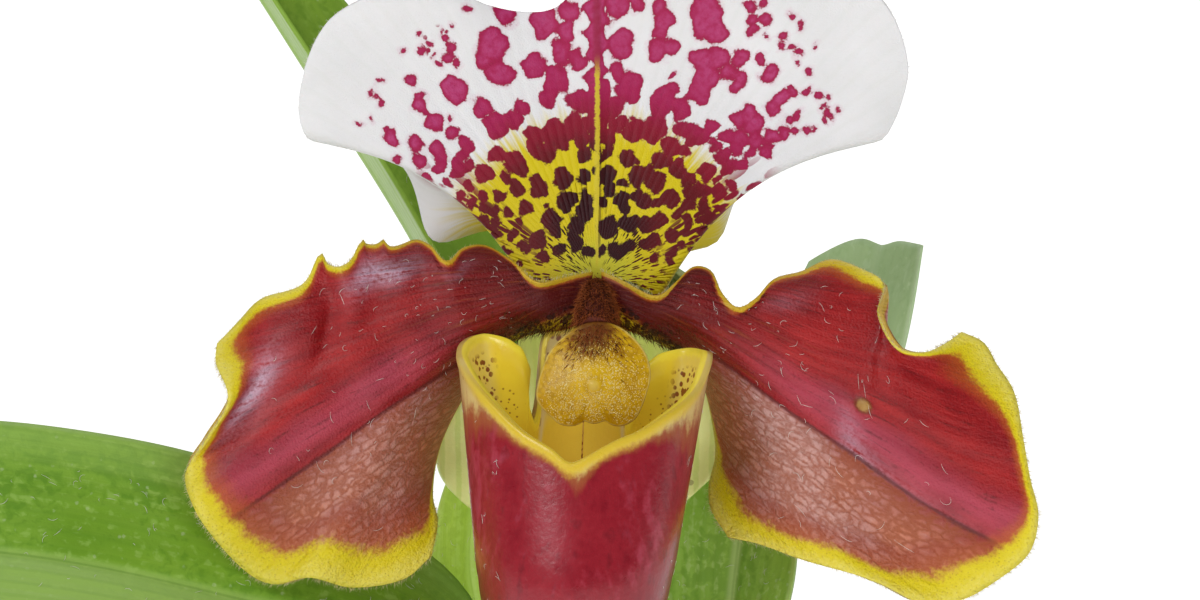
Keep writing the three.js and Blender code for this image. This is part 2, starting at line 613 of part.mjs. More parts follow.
/** The outside radius of the pot's wall at a height. */
function potRadius(z) {
  return lerp(POT_FOOT_RADIUS, POT_RIM_RADIUS - 2, z / POT_HEIGHT);
}

/** A solid of revolution about +Z from a profile of [radius, height] corners. */
function turned(profile, segments) {
  const shape = new THREE.LatheGeometry(profile.map(([r, z]) => new THREE.Vector2(r, z)), segments);
  shape.rotateX(Math.PI / 2);
  return solidOf(shape);
}

function barkBed() {
  const inner = (z) => potRadius(z) - POT_WALL - SEAT_GAP;
  const bottom = FLOOR + SEAT_GAP;
  const hole = CROWN_HEIGHT - CROWN_DEPTH;
  let bed = turned([
    [0, bottom], [inner(bottom), bottom], [inner(88), 88], [BARK_EDGE, 92], [26, 95.5],
    [CROWN_RADIUS + 3, 97], [CROWN_RADIUS, 96.5], [CROWN_RADIUS, hole], [0, hole],
  ], 32);
  let seed = 7;
  const random = () => {
    seed = (seed * 16807) % 2147483647;
    return seed / 2147483647;
  };
  for (let i = 0; i < BARK_CHIPS; i++) {
    const share = Math.sqrt((i + 0.5) / BARK_CHIPS);
    const radius = lerp(CROWN_RADIUS + 9, BARK_EDGE, share);
    const angle = i * 2.39996; // the golden angle, so that no two chips line up
    const chip = new THREE.BoxGeometry(9 + 6 * random(), 6 + 4 * random(), 4 + 2 * random());
    chip.rotateX(CHIP_LEAN * (2 * random() - 1));
    chip.rotateY(CHIP_LEAN * (2 * random() - 1));
    chip.rotateZ(Math.PI * random());
    const height = lerp(96, 91, share) + 1.5 * random();
    chip.translate(radius * Math.cos(angle), radius * Math.sin(angle), height);
    bed = bed.add(solidOf(chip));
  }
  return piece("potting_bark", geometryOf(wholeBody(bed)), FINISHES.bark);
}

function pot() {
  const band = POT_HEIGHT - RIM_BAND;
  let body = turned([
    [0, 0], [POT_FOOT_RADIUS - 1.5, 0], [POT_FOOT_RADIUS, 1.5], [potRadius(band) - 0.4, band],
    [POT_RIM_RADIUS + 1, band + 1.5], [POT_RIM_RADIUS + 2, POT_HEIGHT - 2],
    [POT_RIM_RADIUS + 0.6, POT_HEIGHT], [potRadius(POT_HEIGHT) - POT_WALL + 1, POT_HEIGHT],
    [potRadius(POT_HEIGHT) - POT_WALL, POT_HEIGHT - 1.5], [potRadius(FLOOR) - POT_WALL, FLOOR],
    [0, FLOOR],
  ], 48);
  for (let i = 0; i < DRAIN_HOLES; i++) {
    const drain = new THREE.CylinderGeometry(DRAIN_RADIUS, DRAIN_RADIUS, 3 * FLOOR, 16);
    drain.rotateX(Math.PI / 2);
    const angle = (2 * Math.PI * i) / DRAIN_HOLES + Math.PI / 2;
    drain.translate(DRAIN_CIRCLE * Math.cos(angle), DRAIN_CIRCLE * Math.sin(angle), 0);
    body = body.subtract(solidOf(drain));
  }
  return piece("pot", geometryOf(body), FINISHES.clay);
}

// ---------- assembly ----------
const flower = new THREE.Group();
flower.position.set(...FLOWER_CENTRE);
flower.rotation.x = FLOWER_TILT;
flower.add(dorsalSepal(), synsepal(), pouch(), staminode(), column(), ovary(), bract());
flower.add(petal("petal_left", LEFT_PETAL), petal("petal_right", RIGHT_PETAL));

const plant = new THREE.Group();
plant.add(pot(), barkBed(), flower, stem(), ...LEAVES.map(leaf));

export default plant;
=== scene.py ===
"""A slipper orchid in flower, in a plain clay pot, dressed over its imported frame.

Sizes in the classes are millimetres in the row's frame: +Z up, the flower facing -Y. The flower's
own frame has its origin where the petals meet and leans back by FlowerFrame.tilt. Each surface is
a function of two parameters on a grid, worked out as whole arrays, and becomes a thin closed solid.
"""

from __future__ import annotations

import logging
import math
from dataclasses import dataclass, field
from enum import Enum
from typing import Any, Callable, Sequence

import bpy
import numpy as np
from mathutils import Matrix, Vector

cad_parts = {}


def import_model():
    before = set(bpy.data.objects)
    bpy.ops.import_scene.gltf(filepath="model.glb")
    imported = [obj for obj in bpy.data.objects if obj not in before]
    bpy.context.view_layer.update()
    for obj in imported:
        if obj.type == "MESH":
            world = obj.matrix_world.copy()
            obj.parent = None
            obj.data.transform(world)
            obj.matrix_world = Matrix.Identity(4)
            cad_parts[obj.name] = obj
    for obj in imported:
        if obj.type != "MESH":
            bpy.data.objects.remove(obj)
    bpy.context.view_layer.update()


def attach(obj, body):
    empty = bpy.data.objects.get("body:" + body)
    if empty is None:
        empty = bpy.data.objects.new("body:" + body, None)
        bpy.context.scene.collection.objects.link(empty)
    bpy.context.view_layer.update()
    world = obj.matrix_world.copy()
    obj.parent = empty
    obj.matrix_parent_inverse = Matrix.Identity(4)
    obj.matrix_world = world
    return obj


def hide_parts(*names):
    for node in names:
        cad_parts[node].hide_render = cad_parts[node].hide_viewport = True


LOG = logging.getLogger("slipper_orchid")
MM = 0.001
BODY = "root"
Array = np.ndarray
Fields = dict[str, Array]
Stops = Sequence[Sequence[float]]
Place = Sequence[float]


# ---------- numbers ----------


def along(stops: Stops, x: Array | float) -> Array:
    """A smooth curve through [position, value] stops, level beyond both ends.

    Between two stops it is the cubic whose slopes at them are those of the chords to the stops on
    either side.

    Args:
        stops: Position and value pairs, in order of position.
        x: Where to read the curve.

    Returns:
        The values at x.
    """
    places, values = np.array(stops, float).T
    last = len(places) - 1
    x = np.clip(np.asarray(x, float), places[0], places[-1])
    i = np.clip(np.searchsorted(places, x, side="right") - 1, 0, last - 1)
    every = np.arange(last + 1)
    before, after = np.maximum(every - 1, 0), np.minimum(every + 1, last)
    slopes = (values[after] - values[before]) / (places[after] - places[before])
    span = places[i + 1] - places[i]
    t = (x - places[i]) / span
    blend = t * t * (3 - 2 * t)
    rise = t * (1 - t) ** 2 * span * slopes[i]
    fall = t * t * (t - 1) * span * slopes[i + 1]
    return values[i] * (1 - blend) + values[i + 1] * blend + rise + fall


def smooth(x: Array | float, low: float, high: float) -> Array:
    """0 at or below low and 1 at or above high, with a cubic ease between them."""
    t = np.clip((np.asarray(x, float) - low) / (high - low), 0, 1)
    return t * t * (3 - 2 * t)


def bell(x: Array | float, centre: float, width: float) -> Array:
    """A hump of height 1 at centre, the exponential of minus the square of the distance."""
    return np.exp(-(((np.asarray(x, float) - centre) / width) ** 2))


def unit(vectors: Array) -> Array:
    """The vectors scaled to length 1."""
    lengths = np.linalg.norm(vectors, axis=-1, keepdims=True)
    return vectors / np.maximum(lengths, 1e-12)


def shares(count: int) -> Array:
    """count + 1 evenly spaced numbers from 0 to 1."""
    return np.linspace(0.0, 1.0, count + 1)


def round_angles(count: int) -> Array:
    """count evenly spaced angles round a circle, from 0."""
    return 2 * np.pi * np.arange(count) / count


def ripple(x: Array, y: Array, seed: int) -> Array:
    """Gentle unevenness between about -1 and 1: four crossed sine waves of seeded directions.

    Args:
        x: First coordinate, one wave every 2 pi units or so.
        y: Second coordinate.
        seed: Which pattern.

    Returns:
        The height of the pattern.
    """
    draw = np.random.default_rng(seed)
    total = np.zeros(np.broadcast(x, y).shape)
    for angle, phase in draw.uniform(0, 2 * math.pi, (4, 2)):
        total += np.sin(x * math.cos(angle) + y * math.sin(angle) + phase)
    return total / 2.5


class Curve:
    """A smooth curve through a few points, read by its share of length.

    It is the centripetal Catmull-Rom spline: between two points it is the cubic whose slopes come
    from the points on either side, spaced by the square roots of their distances.
    """

    SAMPLES = 1600
    SMALLEST = 1e-4
    STEP = 1e-3

    def __init__(self, points: Sequence[Sequence[float]]) -> None:
        """Samples the curve finely and measures it.

        Args:
            points: The points that it goes through.
        """
        given = np.array(points, float)
        first = 2 * given[0] - given[1]
        last = 2 * given[-1] - given[-2]
        padded = np.vstack([first, given, last])
        t = np.linspace(0, len(given) - 1, self.SAMPLES)
        i = np.minimum(t.astype(int), len(given) - 2)
        w = (t - i)[:, None]
        p0, p1, p2, p3 = (padded[i + k] for k in range(4))
        gaps = (np.linalg.norm(b - a, axis=1)[:, None] for a, b in ((p0, p1), (p1, p2), (p2, p3)))
        d0, d1, d2 = (np.maximum(gap**0.5, self.SMALLEST) for gap in gaps)
        m1 = ((p1 - p0) / d0 - (p2 - p0) / (d0 + d1) + (p2 - p1) / d1) * d1
        m2 = ((p2 - p1) / d1 - (p3 - p1) / (d1 + d2) + (p3 - p2) / d2) * d1
        cubic = 2 * p1 - 2 * p2 + m1 + m2
        square = -3 * p1 + 3 * p2 - 2 * m1 - m2
        self._places = p1 + m1 * w + square * w**2 + cubic * w**3
        steps = np.linalg.norm(np.diff(self._places, axis=0), axis=1)
        self._run = np.concatenate([[0.0], np.cumsum(steps)])
        self.length = float(self._run[-1])

    def at(self, share: Array | float) -> Array:
        """The points at shares of the length, with the coordinates in the last axis."""
        run = np.asarray(share, float) * self.length
        return np.stack([np.interp(run, self._run, c) for c in self._places.T], axis=-1)

    def heading(self, share: Array | float) -> Array:
        """The unit directions of travel.

        Args:
            share: Shares of the length.

        Returns:
            The directions, with the coordinates in the last axis.
        """
        share = np.asarray(share, float)
        ahead, behind = np.minimum(share + self.STEP, 1), np.maximum(share - self.STEP, 0)
        return unit(self.at(ahead) - self.at(behind))


@dataclass(frozen=True)
class FlowerFrame:
    """Where the flower stands on the plant and how far it looks upwards."""

    centre: tuple[float, float, float] = (0.0, -16.0, 242.0)
    tilt: float = 8.0

    def place(self, points: Array) -> Array:
        """Turns points of the flower's frame about X by the tilt and moves them to its centre.

        Args:
            points: The points, with the coordinates in the last axis.

        Returns:
            The points in the row's frame.
        """
        c, s = math.cos(math.radians(self.tilt)), math.sin(math.radians(self.tilt))
        x, y, z = points[..., 0], points[..., 1], points[..., 2]
        turned = np.stack([x, y * c + z * s, z * c - y * s], axis=-1)
        return turned + np.array(self.centre)


FLOWER = FlowerFrame()


# ---------- meshes ----------


def link(name: str, data: bpy.types.ID) -> bpy.types.Object:
    """Makes an object of some data and links it into the scene.

    Args:
        name: The object's name.
        data: A mesh, a light or a camera.

    Returns:
        The object.
    """
    made = bpy.data.objects.new(name, data)
    bpy.context.scene.collection.objects.link(made)
    return made


def build_mesh(name: str, points: Array, faces: Array, fields: Fields) -> bpy.types.Object:
    """Writes points in millimetres and triangles into a new smooth-shaded object at the origin.

    Args:
        name: The object's name.
        points: One row of coordinates for each vertex.
        faces: One row of three vertex numbers for each triangle, facing out.
        fields: Named numbers, one for each vertex, that materials read.

    Returns:
        The object.
    """
    mesh = bpy.data.meshes.new(name)
    mesh.vertices.add(len(points))
    mesh.vertices.foreach_set("co", (points * MM).astype(np.float32).ravel())
    mesh.loops.add(faces.size)
    mesh.loops.foreach_set("vertex_index", faces.astype(np.int32).ravel())
    mesh.polygons.add(len(faces))
    mesh.polygons.foreach_set("loop_start", np.arange(0, faces.size, 3, dtype=np.int32))
    mesh.polygons.foreach_set("use_smooth", np.ones(len(faces), bool))
    mesh.update(calc_edges=True)
    for key, values in fields.items():
        layer = mesh.attributes.new(key, "FLOAT", "POINT")
        layer.data.foreach_set("value", values.astype(np.float32).ravel())
    return link(name, mesh)


def facing_out(points: Array, faces: Array) -> Array:
    """Turns every triangle round if the solid that they close has a negative volume.

    Args:
        points: One row of coordinates for each vertex.
        faces: The triangles, all wound alike.

    Returns:
        The triangles, facing out.
    """
    a, b, c = (points[faces[:, k]] for k in range(3))
    volume = np.einsum("ij,ij->", a, np.cross(b, c))
    return faces if volume > 0 else faces[:, ::-1]


def lattice_faces(ids: Array, ring: bool = False) -> Array:
    """Two triangles for each cell of a grid of vertex numbers.

    Args:
        ids: The grid of vertex numbers.
        ring: Whether its last column joins the first.

    Returns:
        The triangles.
    """
    if ring:
        ids = np.hstack([ids, ids[:, :1]])
    a, b, c, d = ids[:-1, :-1], ids[1:, :-1], ids[1:, 1:], ids[:-1, 1:]
    pairs = [np.stack([a, b, c], -1), np.stack([a, c, d], -1)]
    return np.concatenate([p.reshape(-1, 3) for p in pairs])


def closed_solid(points: Array, faces: Array) -> tuple[Array, Array, Array]:
    """Frees a closed surface of triangles with two equal corners and of points that none uses.

    Args:
        points: Its points.
        faces: Its triangles, all wound alike.

    Returns:
        The numbers of the points that are kept, those points, and the triangles, facing out.
    """
    a, b, c = faces.T
    used, faces = np.unique(faces[(a != b) & (b != c) & (a != c)], return_inverse=True)
    kept = points[used]
    return used, kept, facing_out(kept, faces.reshape(-1, 3))


def stacked_rings(grid: Array) -> tuple[Array, Array]:
    """A closed solid of stacked rings.

    Args:
        grid: The rings in order, with the same number of points; the first and the last ring are
            each a single point, repeated.

    Returns:
        Its points and its triangles.
    """
    ids = np.arange(grid.shape[0] * grid.shape[1]).reshape(grid.shape[:2])
    ids[0], ids[-1] = ids[0, 0], ids[-1, 0]
    return closed_solid(grid.reshape(-1, 3), lattice_faces(ids, True))[1:]


def lathed(r: Array, z: Array, turn: Array) -> tuple[Array, Array]:
    """A solid turned round the Z axis.

    Args:
        r: A column of radii, from the axis and back to it, or one such column for each angle.
        z: The column of heights.
        turn: The angles, in radians.

    Returns:
        Its points and its triangles.
    """
    return stacked_rings(np.stack([r * np.cos(turn), r * np.sin(turn), z + 0 * turn], axis=-1))


def repeated(faces: Array, size: int, count: int) -> Array:
    """The triangles of count copies of one shape whose points, size of them each, follow on."""
    return (faces[None] + size * np.arange(count)[:, None, None]).reshape(-1, 3)


class Edge(Enum):
    """The four edges of a sheet's grid."""

    FOOT = "foot"
    TIP = "tip"
    LOW = "low"
    HIGH = "high"


@dataclass
class Sheet:
    """A thin closed solid about a middle surface given on a grid.

    ring joins the last column to the first, and pole draws the first row to one point. flip is
    True where the surface's own normals point at the side that counts as its front.
    """

    middle: Array
    thickness: Array
    fields: Fields = field(default_factory=dict)
    ring: bool = False
    pole: bool = False
    flip: bool = False

    def normals(self) -> Array:
        """Unit normals, each the cross product of the steps to the neighbours on the grid.

        Returns:
            One vector for each point of the middle surface.
        """
        m = self.middle
        rows = np.vstack([m[1:], m[-1:]]) - np.vstack([m[:1], m[:-1]])
        if self.ring:
            columns = np.roll(m, -1, axis=1) - np.roll(m, 1, axis=1)
        else:
            columns = np.hstack([m[:, 1:], m[:, -1:]]) - np.hstack([m[:, :1], m[:, :-1]])
        normals = unit(np.cross(rows, columns))
        if self.pole:
            normals[0] = unit(normals[1].sum(axis=0))
        return normals

    def front(self) -> Array:
        """The unit normals of the front face."""
        return self.normals() if self.flip else -self.normals()

    def rise(self) -> Array:
        """The steps from the middle surface out to the front face."""
        return self.front() * (self.thickness / 2)[..., None]

    def margin(self, edge: Edge, count: int, seed: int) -> tuple[Array, Array, Array]:
        """Seeded places along one edge of the grid.

        Args:
            edge: Which edge.
            count: How many places.
            seed: The random draw.

        Returns:
            The places, the directions that lead out of the sheet there and the front normals.
        """
        grid, normals = self.middle, self.front()
        if edge in (Edge.LOW, Edge.HIGH):
            grid, normals = grid.transpose(1, 0, 2), normals.transpose(1, 0, 2)
        if edge in (Edge.FOOT, Edge.LOW):
            grid, normals = grid[::-1], normals[::-1]
        line, inner = grid[-1], grid[-2]
        run = np.concatenate([[0], np.cumsum(np.linalg.norm(np.diff(line, axis=0), axis=1))])
        draw = np.random.default_rng(seed)
        where = np.sort(draw.uniform(0, run[-1], count))

        def read(values: Array) -> Array:
            """The values at the places, between those at the points of the edge."""
            return np.stack([np.interp(where, run, c) for c in values.T], axis=-1)

        return read(line), unit(read(line - inner)), unit(read(normals[-1]))

    def build(self, name: str) -> bpy.types.Object:
        """Makes the solid: the middle moved half a thickness to each side, and a wall round it.

        Args:
            name: The object's name.

        Returns:
            The object, whose field "front" is 1 on the front face and 0 on the back.
        """
        rows, columns = self.middle.shape[:2]
        rise = self.rise()
        points = np.concatenate([self.middle + rise, self.middle - rise]).reshape(-1, 3)
        ids = np.arange(rows * columns).reshape(rows, columns)
        if self.pole:
            ids[0] = ids[0, 0]
        back = ids + rows * columns
        faces = [lattice_faces(ids, self.ring), lattice_faces(back, self.ring)[:, ::-1]]
        faces.append(lattice_faces(np.stack([back[-1], ids[-1]]), self.ring)[:, ::-1])
        if not self.pole:
            faces.append(lattice_faces(np.stack([back[0], ids[0]]), self.ring))
        if not self.ring:
            faces.append(lattice_faces(np.stack([back[:, 0], ids[:, 0]]))[:, ::-1])
            faces.append(lattice_faces(np.stack([back[:, -1], ids[:, -1]])))
        used, points, faces = closed_solid(points, np.concatenate(faces))
        fields = {}
        for key, values in self.fields.items():
            fields[key] = np.tile(np.broadcast_to(values, (rows, columns)).ravel(), 2)[used]
        fields["front"] = np.repeat([1.0, 0.0], rows * columns)[used]
        return build_mesh(name, points, faces, fields)


@dataclass
class Stalk:
    """A closed solid along a curve.

    radius gives the distance from the curve by the share of its length and the angle round it.
    """

    curve: Curve
    radius: Callable[[Array, Array], Array]
    sides: int
    steps: int

    def grid(self) -> tuple[Array, Array]:
        """Points round each station of the curve and the directions outwards there.

        Each ring lies in the plane across the curve, and the next one is turned as little as the
        curve lets it.

        Returns:
            The points and the unit directions, both as steps by sides grids.
        """
        s = shares(self.steps)
        centre, forward = self.curve.at(s), self.curve.heading(s)
        across = unit(np.cross(forward[0], [0.3, 0.5, 0.8]))
        turns = round_angles(self.sides)
        out = np.empty((self.steps + 1, self.sides, 3))
        for i, direction in enumerate(forward):
            across = unit(across - direction * np.dot(across, direction))
            other = np.cross(direction, across)
            out[i] = np.cos(turns)[:, None] * across + np.sin(turns)[:, None] * other
        reach = self.radius(s[:, None], turns[None, :])
        return centre[:, None] + reach[..., None] * out, out

    def build(self, name: str) -> bpy.types.Object:
        """Makes the solid with a point in the middle of each flat end.

        Args:
            name: The object's name.

        Returns:
            The object.
        """
        grid, _ = self.grid()
        first, last = (np.repeat(grid[[k]].mean(axis=1), self.sides, axis=0) for k in (0, -1))
        return build_mesh(name, *stacked_rings(np.concatenate([[first], grid, [last]])), {})


@dataclass(frozen=True)
class HairCoat:
    """Fine hairs, each a slim three-sided cone with one bend.

    spread is how far they lean and droop how far their tips stray, both for a length of 1. Each
    root is sunk below its place, and the bend lies halfway, at a share, waist, of the radius.
    """

    length: float
    radius: float
    droop: float = 0.25
    spread: float = 0.35
    seed: int = 1
    lengths: tuple[float, float] = (0.55, 1.15)
    sunk: float = 0.12
    waist: float = 0.65

    def build(self, name: str, roots: Array, directions: Array) -> bpy.types.Object:
        """Makes one mesh of all the hairs.

        Each hair runs from just under its root to a ring at half its length and on to its tip,
        which droops and leans by a seeded amount.

        Args:
            name: The object's name.
            roots: Where the hairs stand.
            directions: Which way each points.

        Returns:
            The object.
        """
        draw = np.random.default_rng(self.seed)
        count = len(roots)
        lean = unit(directions + draw.normal(0, self.spread, (count, 3)))
        length = self.length * draw.uniform(*self.lengths, (count, 1))
        bend = draw.normal(0, self.droop, (count, 3)) + [0, 0, -self.droop / 2]
        tips = roots + lean * length + bend * length * 0.6
        side = unit(np.cross(lean, [0.31, 0.47, 0.83]))
        other = np.cross(lean, side)
        rings = []
        stations = [(roots - lean * self.sunk, 1.0), (roots + lean * length * 0.5, self.waist)]
        for centre, share in stations:
            for turn in round_angles(3):
                out = math.cos(turn) * side + math.sin(turn) * other
                rings.append(centre + out * self.radius * share)
        points = np.stack([*rings, tips], axis=1)
        hair = [(0, 2, 1), (0, 1, 4), (0, 4, 3), (1, 2, 5), (1, 5, 4), (2, 0, 3), (2, 3, 5)]
        hair += [(3, 4, 6), (4, 5, 6), (5, 3, 6)]
        faces = repeated(np.array(hair), points.shape[1], count)
        run = np.tile([0, 0, 0, 0.5, 0.5, 0.5, 1.0], count)
        return build_mesh(name, points.reshape(-1, 3), faces, {"along": run})


@dataclass(frozen=True)
class Lint:
    """Fine curled fibres that lie on the front of a sheet.

    pitch holds the usual steps of the sheet's grid along and across, in millimetres. The fibres
    start in a zone of the grid given by shares along it and across it.
    """

    pitch: tuple[float, float]
    count: int
    seed: int
    steps: int = 8
    radius: float = 0.03
    rise: float = 0.12
    curl: float = 2.2
    lengths: tuple[float, float] = (0.5, 2.0)
    zone: tuple[tuple[float, float], tuple[float, float]] = ((0.22, 0.9), (0.15, 0.9))

    def build(self, name: str, sheet: Sheet) -> bpy.types.Object:
        """Makes one mesh of all the fibres.

        Each walks over the grid from a seeded place in a seeded direction that keeps turning, at a
        height above the surface that is a half sine of its length, as a three-sided thread.

        Args:
            name: The object's name.
            sheet: What they lie on.

        Returns:
            The object.
        """
        draw = np.random.default_rng(self.seed)
        each = (self.count, 1)
        shape = sheet.middle.shape
        share = np.linspace(0, 1, self.steps)
        turn = draw.uniform(0, 2 * np.pi, each) + draw.normal(0, self.curl, each) * share
        step = draw.uniform(*self.lengths, each) / self.steps
        walk = (np.cos(turn), np.sin(turn))
        place = [
            np.clip(
                draw.uniform(*self.zone[k], each) * shape[k]
                + np.cumsum(walk[k] * step, axis=1) / self.pitch[k],
                1, shape[k] - 2,
            )
            for k in (0, 1)
        ]
        i, j = (p.astype(int) for p in place)
        u, v = (place[0] - i)[..., None], (place[1] - j)[..., None]
        face = sheet.middle + sheet.rise()
        low = face[i, j] * (1 - u) + face[i + 1, j] * u
        high = face[i, j + 1] * (1 - u) + face[i + 1, j + 1] * u
        front = sheet.front()[i, j]
        lift = self.radius + self.rise * np.sin(np.pi * share) * draw.uniform(0, 1, each)
        line = low * (1 - v) + high * v + front * lift[..., None]
        side = unit(np.cross(unit(np.gradient(line, axis=1)), front))
        radius = self.radius * (0.3 + 0.7 * np.sin(np.pi * np.clip(share, 0.06, 0.94)))[:, None]
        corners = [side * math.cos(k) + front * math.sin(k) for k in round_angles(3)]
        points = np.stack([line + corner * radius for corner in corners], axis=2).reshape(-1, 3)
        ids = np.arange(3 * self.steps).reshape(-1, 3)
        faces = np.concatenate([lattice_faces(ids, True), [[0, 2, 1], ids[-1]]])
        faces = repeated(facing_out(points, faces), ids.size, self.count)
        return build_mesh(name, points, faces, {})


def joined_points(
    shape: Array, faces: Array, centres: Array, sizes: Array, turns: Array
) -> tuple[Array, Array]:
    """Copies of one small shape, each scaled, turned and moved.

    Args:
        shape: The points of the shape.
        faces: Its triangles.
        centres: Where each copy goes.
        sizes: How each is scaled along its three axes.
        turns: A 3 by 3 rotation for each.

    Returns:
        All the points and all the triangles.
    """
    copies = np.einsum("nij,nkj->nki", turns, shape[None] * sizes[:, None]) + centres[:, None]
    return copies.reshape(-1, 3), repeated(faces, len(shape), len(centres))


def octahedron() -> tuple[Array, Array]:
    """The smallest grain.

    Returns:
        Its six points, at distance 1, and its eight triangles.
    """
    points = np.array([[1, 0, 0], [-1, 0, 0], [0, 1, 0], [0, -1, 0], [0, 0, 1], [0, 0, -1]], float)
    top = [(0, 2, 4), (2, 1, 4), (1, 3, 4), (3, 0, 4)]
    return points, np.array(top + [(b, a, 5) for a, b, _ in top])


def random_turns(count: int, draw: np.random.Generator, lean: float) -> Array:
    """Rotations by any angle about Z after a lean about X and Y.

    Args:
        count: How many.
        draw: What draws the angles.
        lean: The greatest lean, in radians.

    Returns:
        A 3 by 3 rotation for each.
    """
    a, b = draw.uniform(-lean, lean, (2, count))
    c = draw.uniform(0, 2 * math.pi, count)
    zero, one = np.zeros(count), np.ones(count)
    about_x = [[one, zero, zero], [zero, np.cos(a), -np.sin(a)], [zero, np.sin(a), np.cos(a)]]
    about_y = [[np.cos(b), zero, np.sin(b)], [zero, one, zero], [-np.sin(b), zero, np.cos(b)]]
    about_z = [[np.cos(c), -np.sin(c), zero], [np.sin(c), np.cos(c), zero], [zero, zero, one]]
    x, y, z = (np.moveaxis(np.array(m), 2, 0) for m in (about_x, about_y, about_z))
    return z @ y @ x


def dress(
    piece: bpy.types.Object, finish: bpy.types.Material, slot: str, *nodes: str
) -> bpy.types.Object:
    """Gives a piece its finish, sets it riding on the plant and hides the nodes that it replaces.

    Args:
        piece: The object.
        finish: Its material.
        slot: The record's material slot; not used.
        nodes: The nodes that it replaces.

    Returns:
        The piece.
    """
    piece.data.materials.clear()
    piece.data.materials.append(finish)
    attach(piece, BODY)
    if nodes:
        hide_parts(*nodes)
    LOG.info("%s: %d triangles", piece.name, len(piece.data.polygons))
    return piece


# ---------- shader maths ----------


def tone(code: str) -> tuple[float, float, float, float]:
    """The linear colour of an sRGB code.

    Args:
        code: Six hexadecimal digits.

    Returns:
        Red, green and blue from 0 to 1, and a 1 for opaque.
    """
    parts = [int(code[i : i + 2], 16) / 255 for i in (0, 2, 4)]
    linear = [c / 12.92 if c <= 0.04045 else ((c + 0.055) / 1.055) ** 2.4 for c in parts]
    return (*linear, 1.0)


class Wire:
    """A socket of a material. Arithmetic on it adds the Math nodes."""

    def __init__(self, board: Board, socket: bpy.types.NodeSocket) -> None:
        """Keeps the board that the socket is on, and the socket."""
        self.board = board
        self.socket = socket

    def __add__(self, other: Wire | float) -> Wire:
        """This plus another."""
        return self.board.math("ADD", self, other)

    def __sub__(self, other: Wire | float) -> Wire:
        """This minus another."""
        return self.board.math("SUBTRACT", self, other)

    def __rsub__(self, other: float) -> Wire:
        """A number minus this."""
        return self.board.math("SUBTRACT", other, self)

    def __mul__(self, other: Wire | float) -> Wire:
        """This times another."""
        return self.board.math("MULTIPLY", self, other)

    __radd__ = __add__
    __rmul__ = __mul__

    def __neg__(self) -> Wire:
        """Minus this."""
        return 0.0 - self

    def __abs__(self) -> Wire:
        """The distance of this from 0."""
        return self.board.math("ABSOLUTE", self)

    def clip(self) -> Wire:
        """This kept between 0 and 1."""
        return self.board.math("MULTIPLY", self, 1.0, clamp=True)

    def sine(self) -> Wire:
        """The sine of this, in radians."""
        return self.board.math("SINE", self)

    def above(self, low: float, high: float) -> Wire:
        """A smooth step from 0 below one value to 1 above another.

        Args:
            low: Where it leaves 0.
            high: Where it comes to 1; when this is the lower of the two, the step falls instead.

        Returns:
            The step.
        """
        if low > high:
            return 1.0 - self.above(high, low)
        settings = {"interpolation_type": "SMOOTHSTEP", "clamp": True}
        inputs = {"Value": self, 1: low, 2: high, 3: 0.0, 4: 1.0}
        return self.board.node("ShaderNodeMapRange", settings, inputs)

    def near(self, centre: float, width: float) -> Wire:
        """1 at centre, easing to 0 a width away on both sides."""
        return abs(self - centre).above(width, 0.0)

    def toward(self, code: str, share: Wire | float) -> Wire:
        """This colour moved a share of the way to that of an sRGB code."""
        return self.board.mix(share, self, code)


class Feature(Enum):
    """What a pattern of cells measures the distance to."""

    POINT = "F1"
    BORDER = "DISTANCE_TO_EDGE"


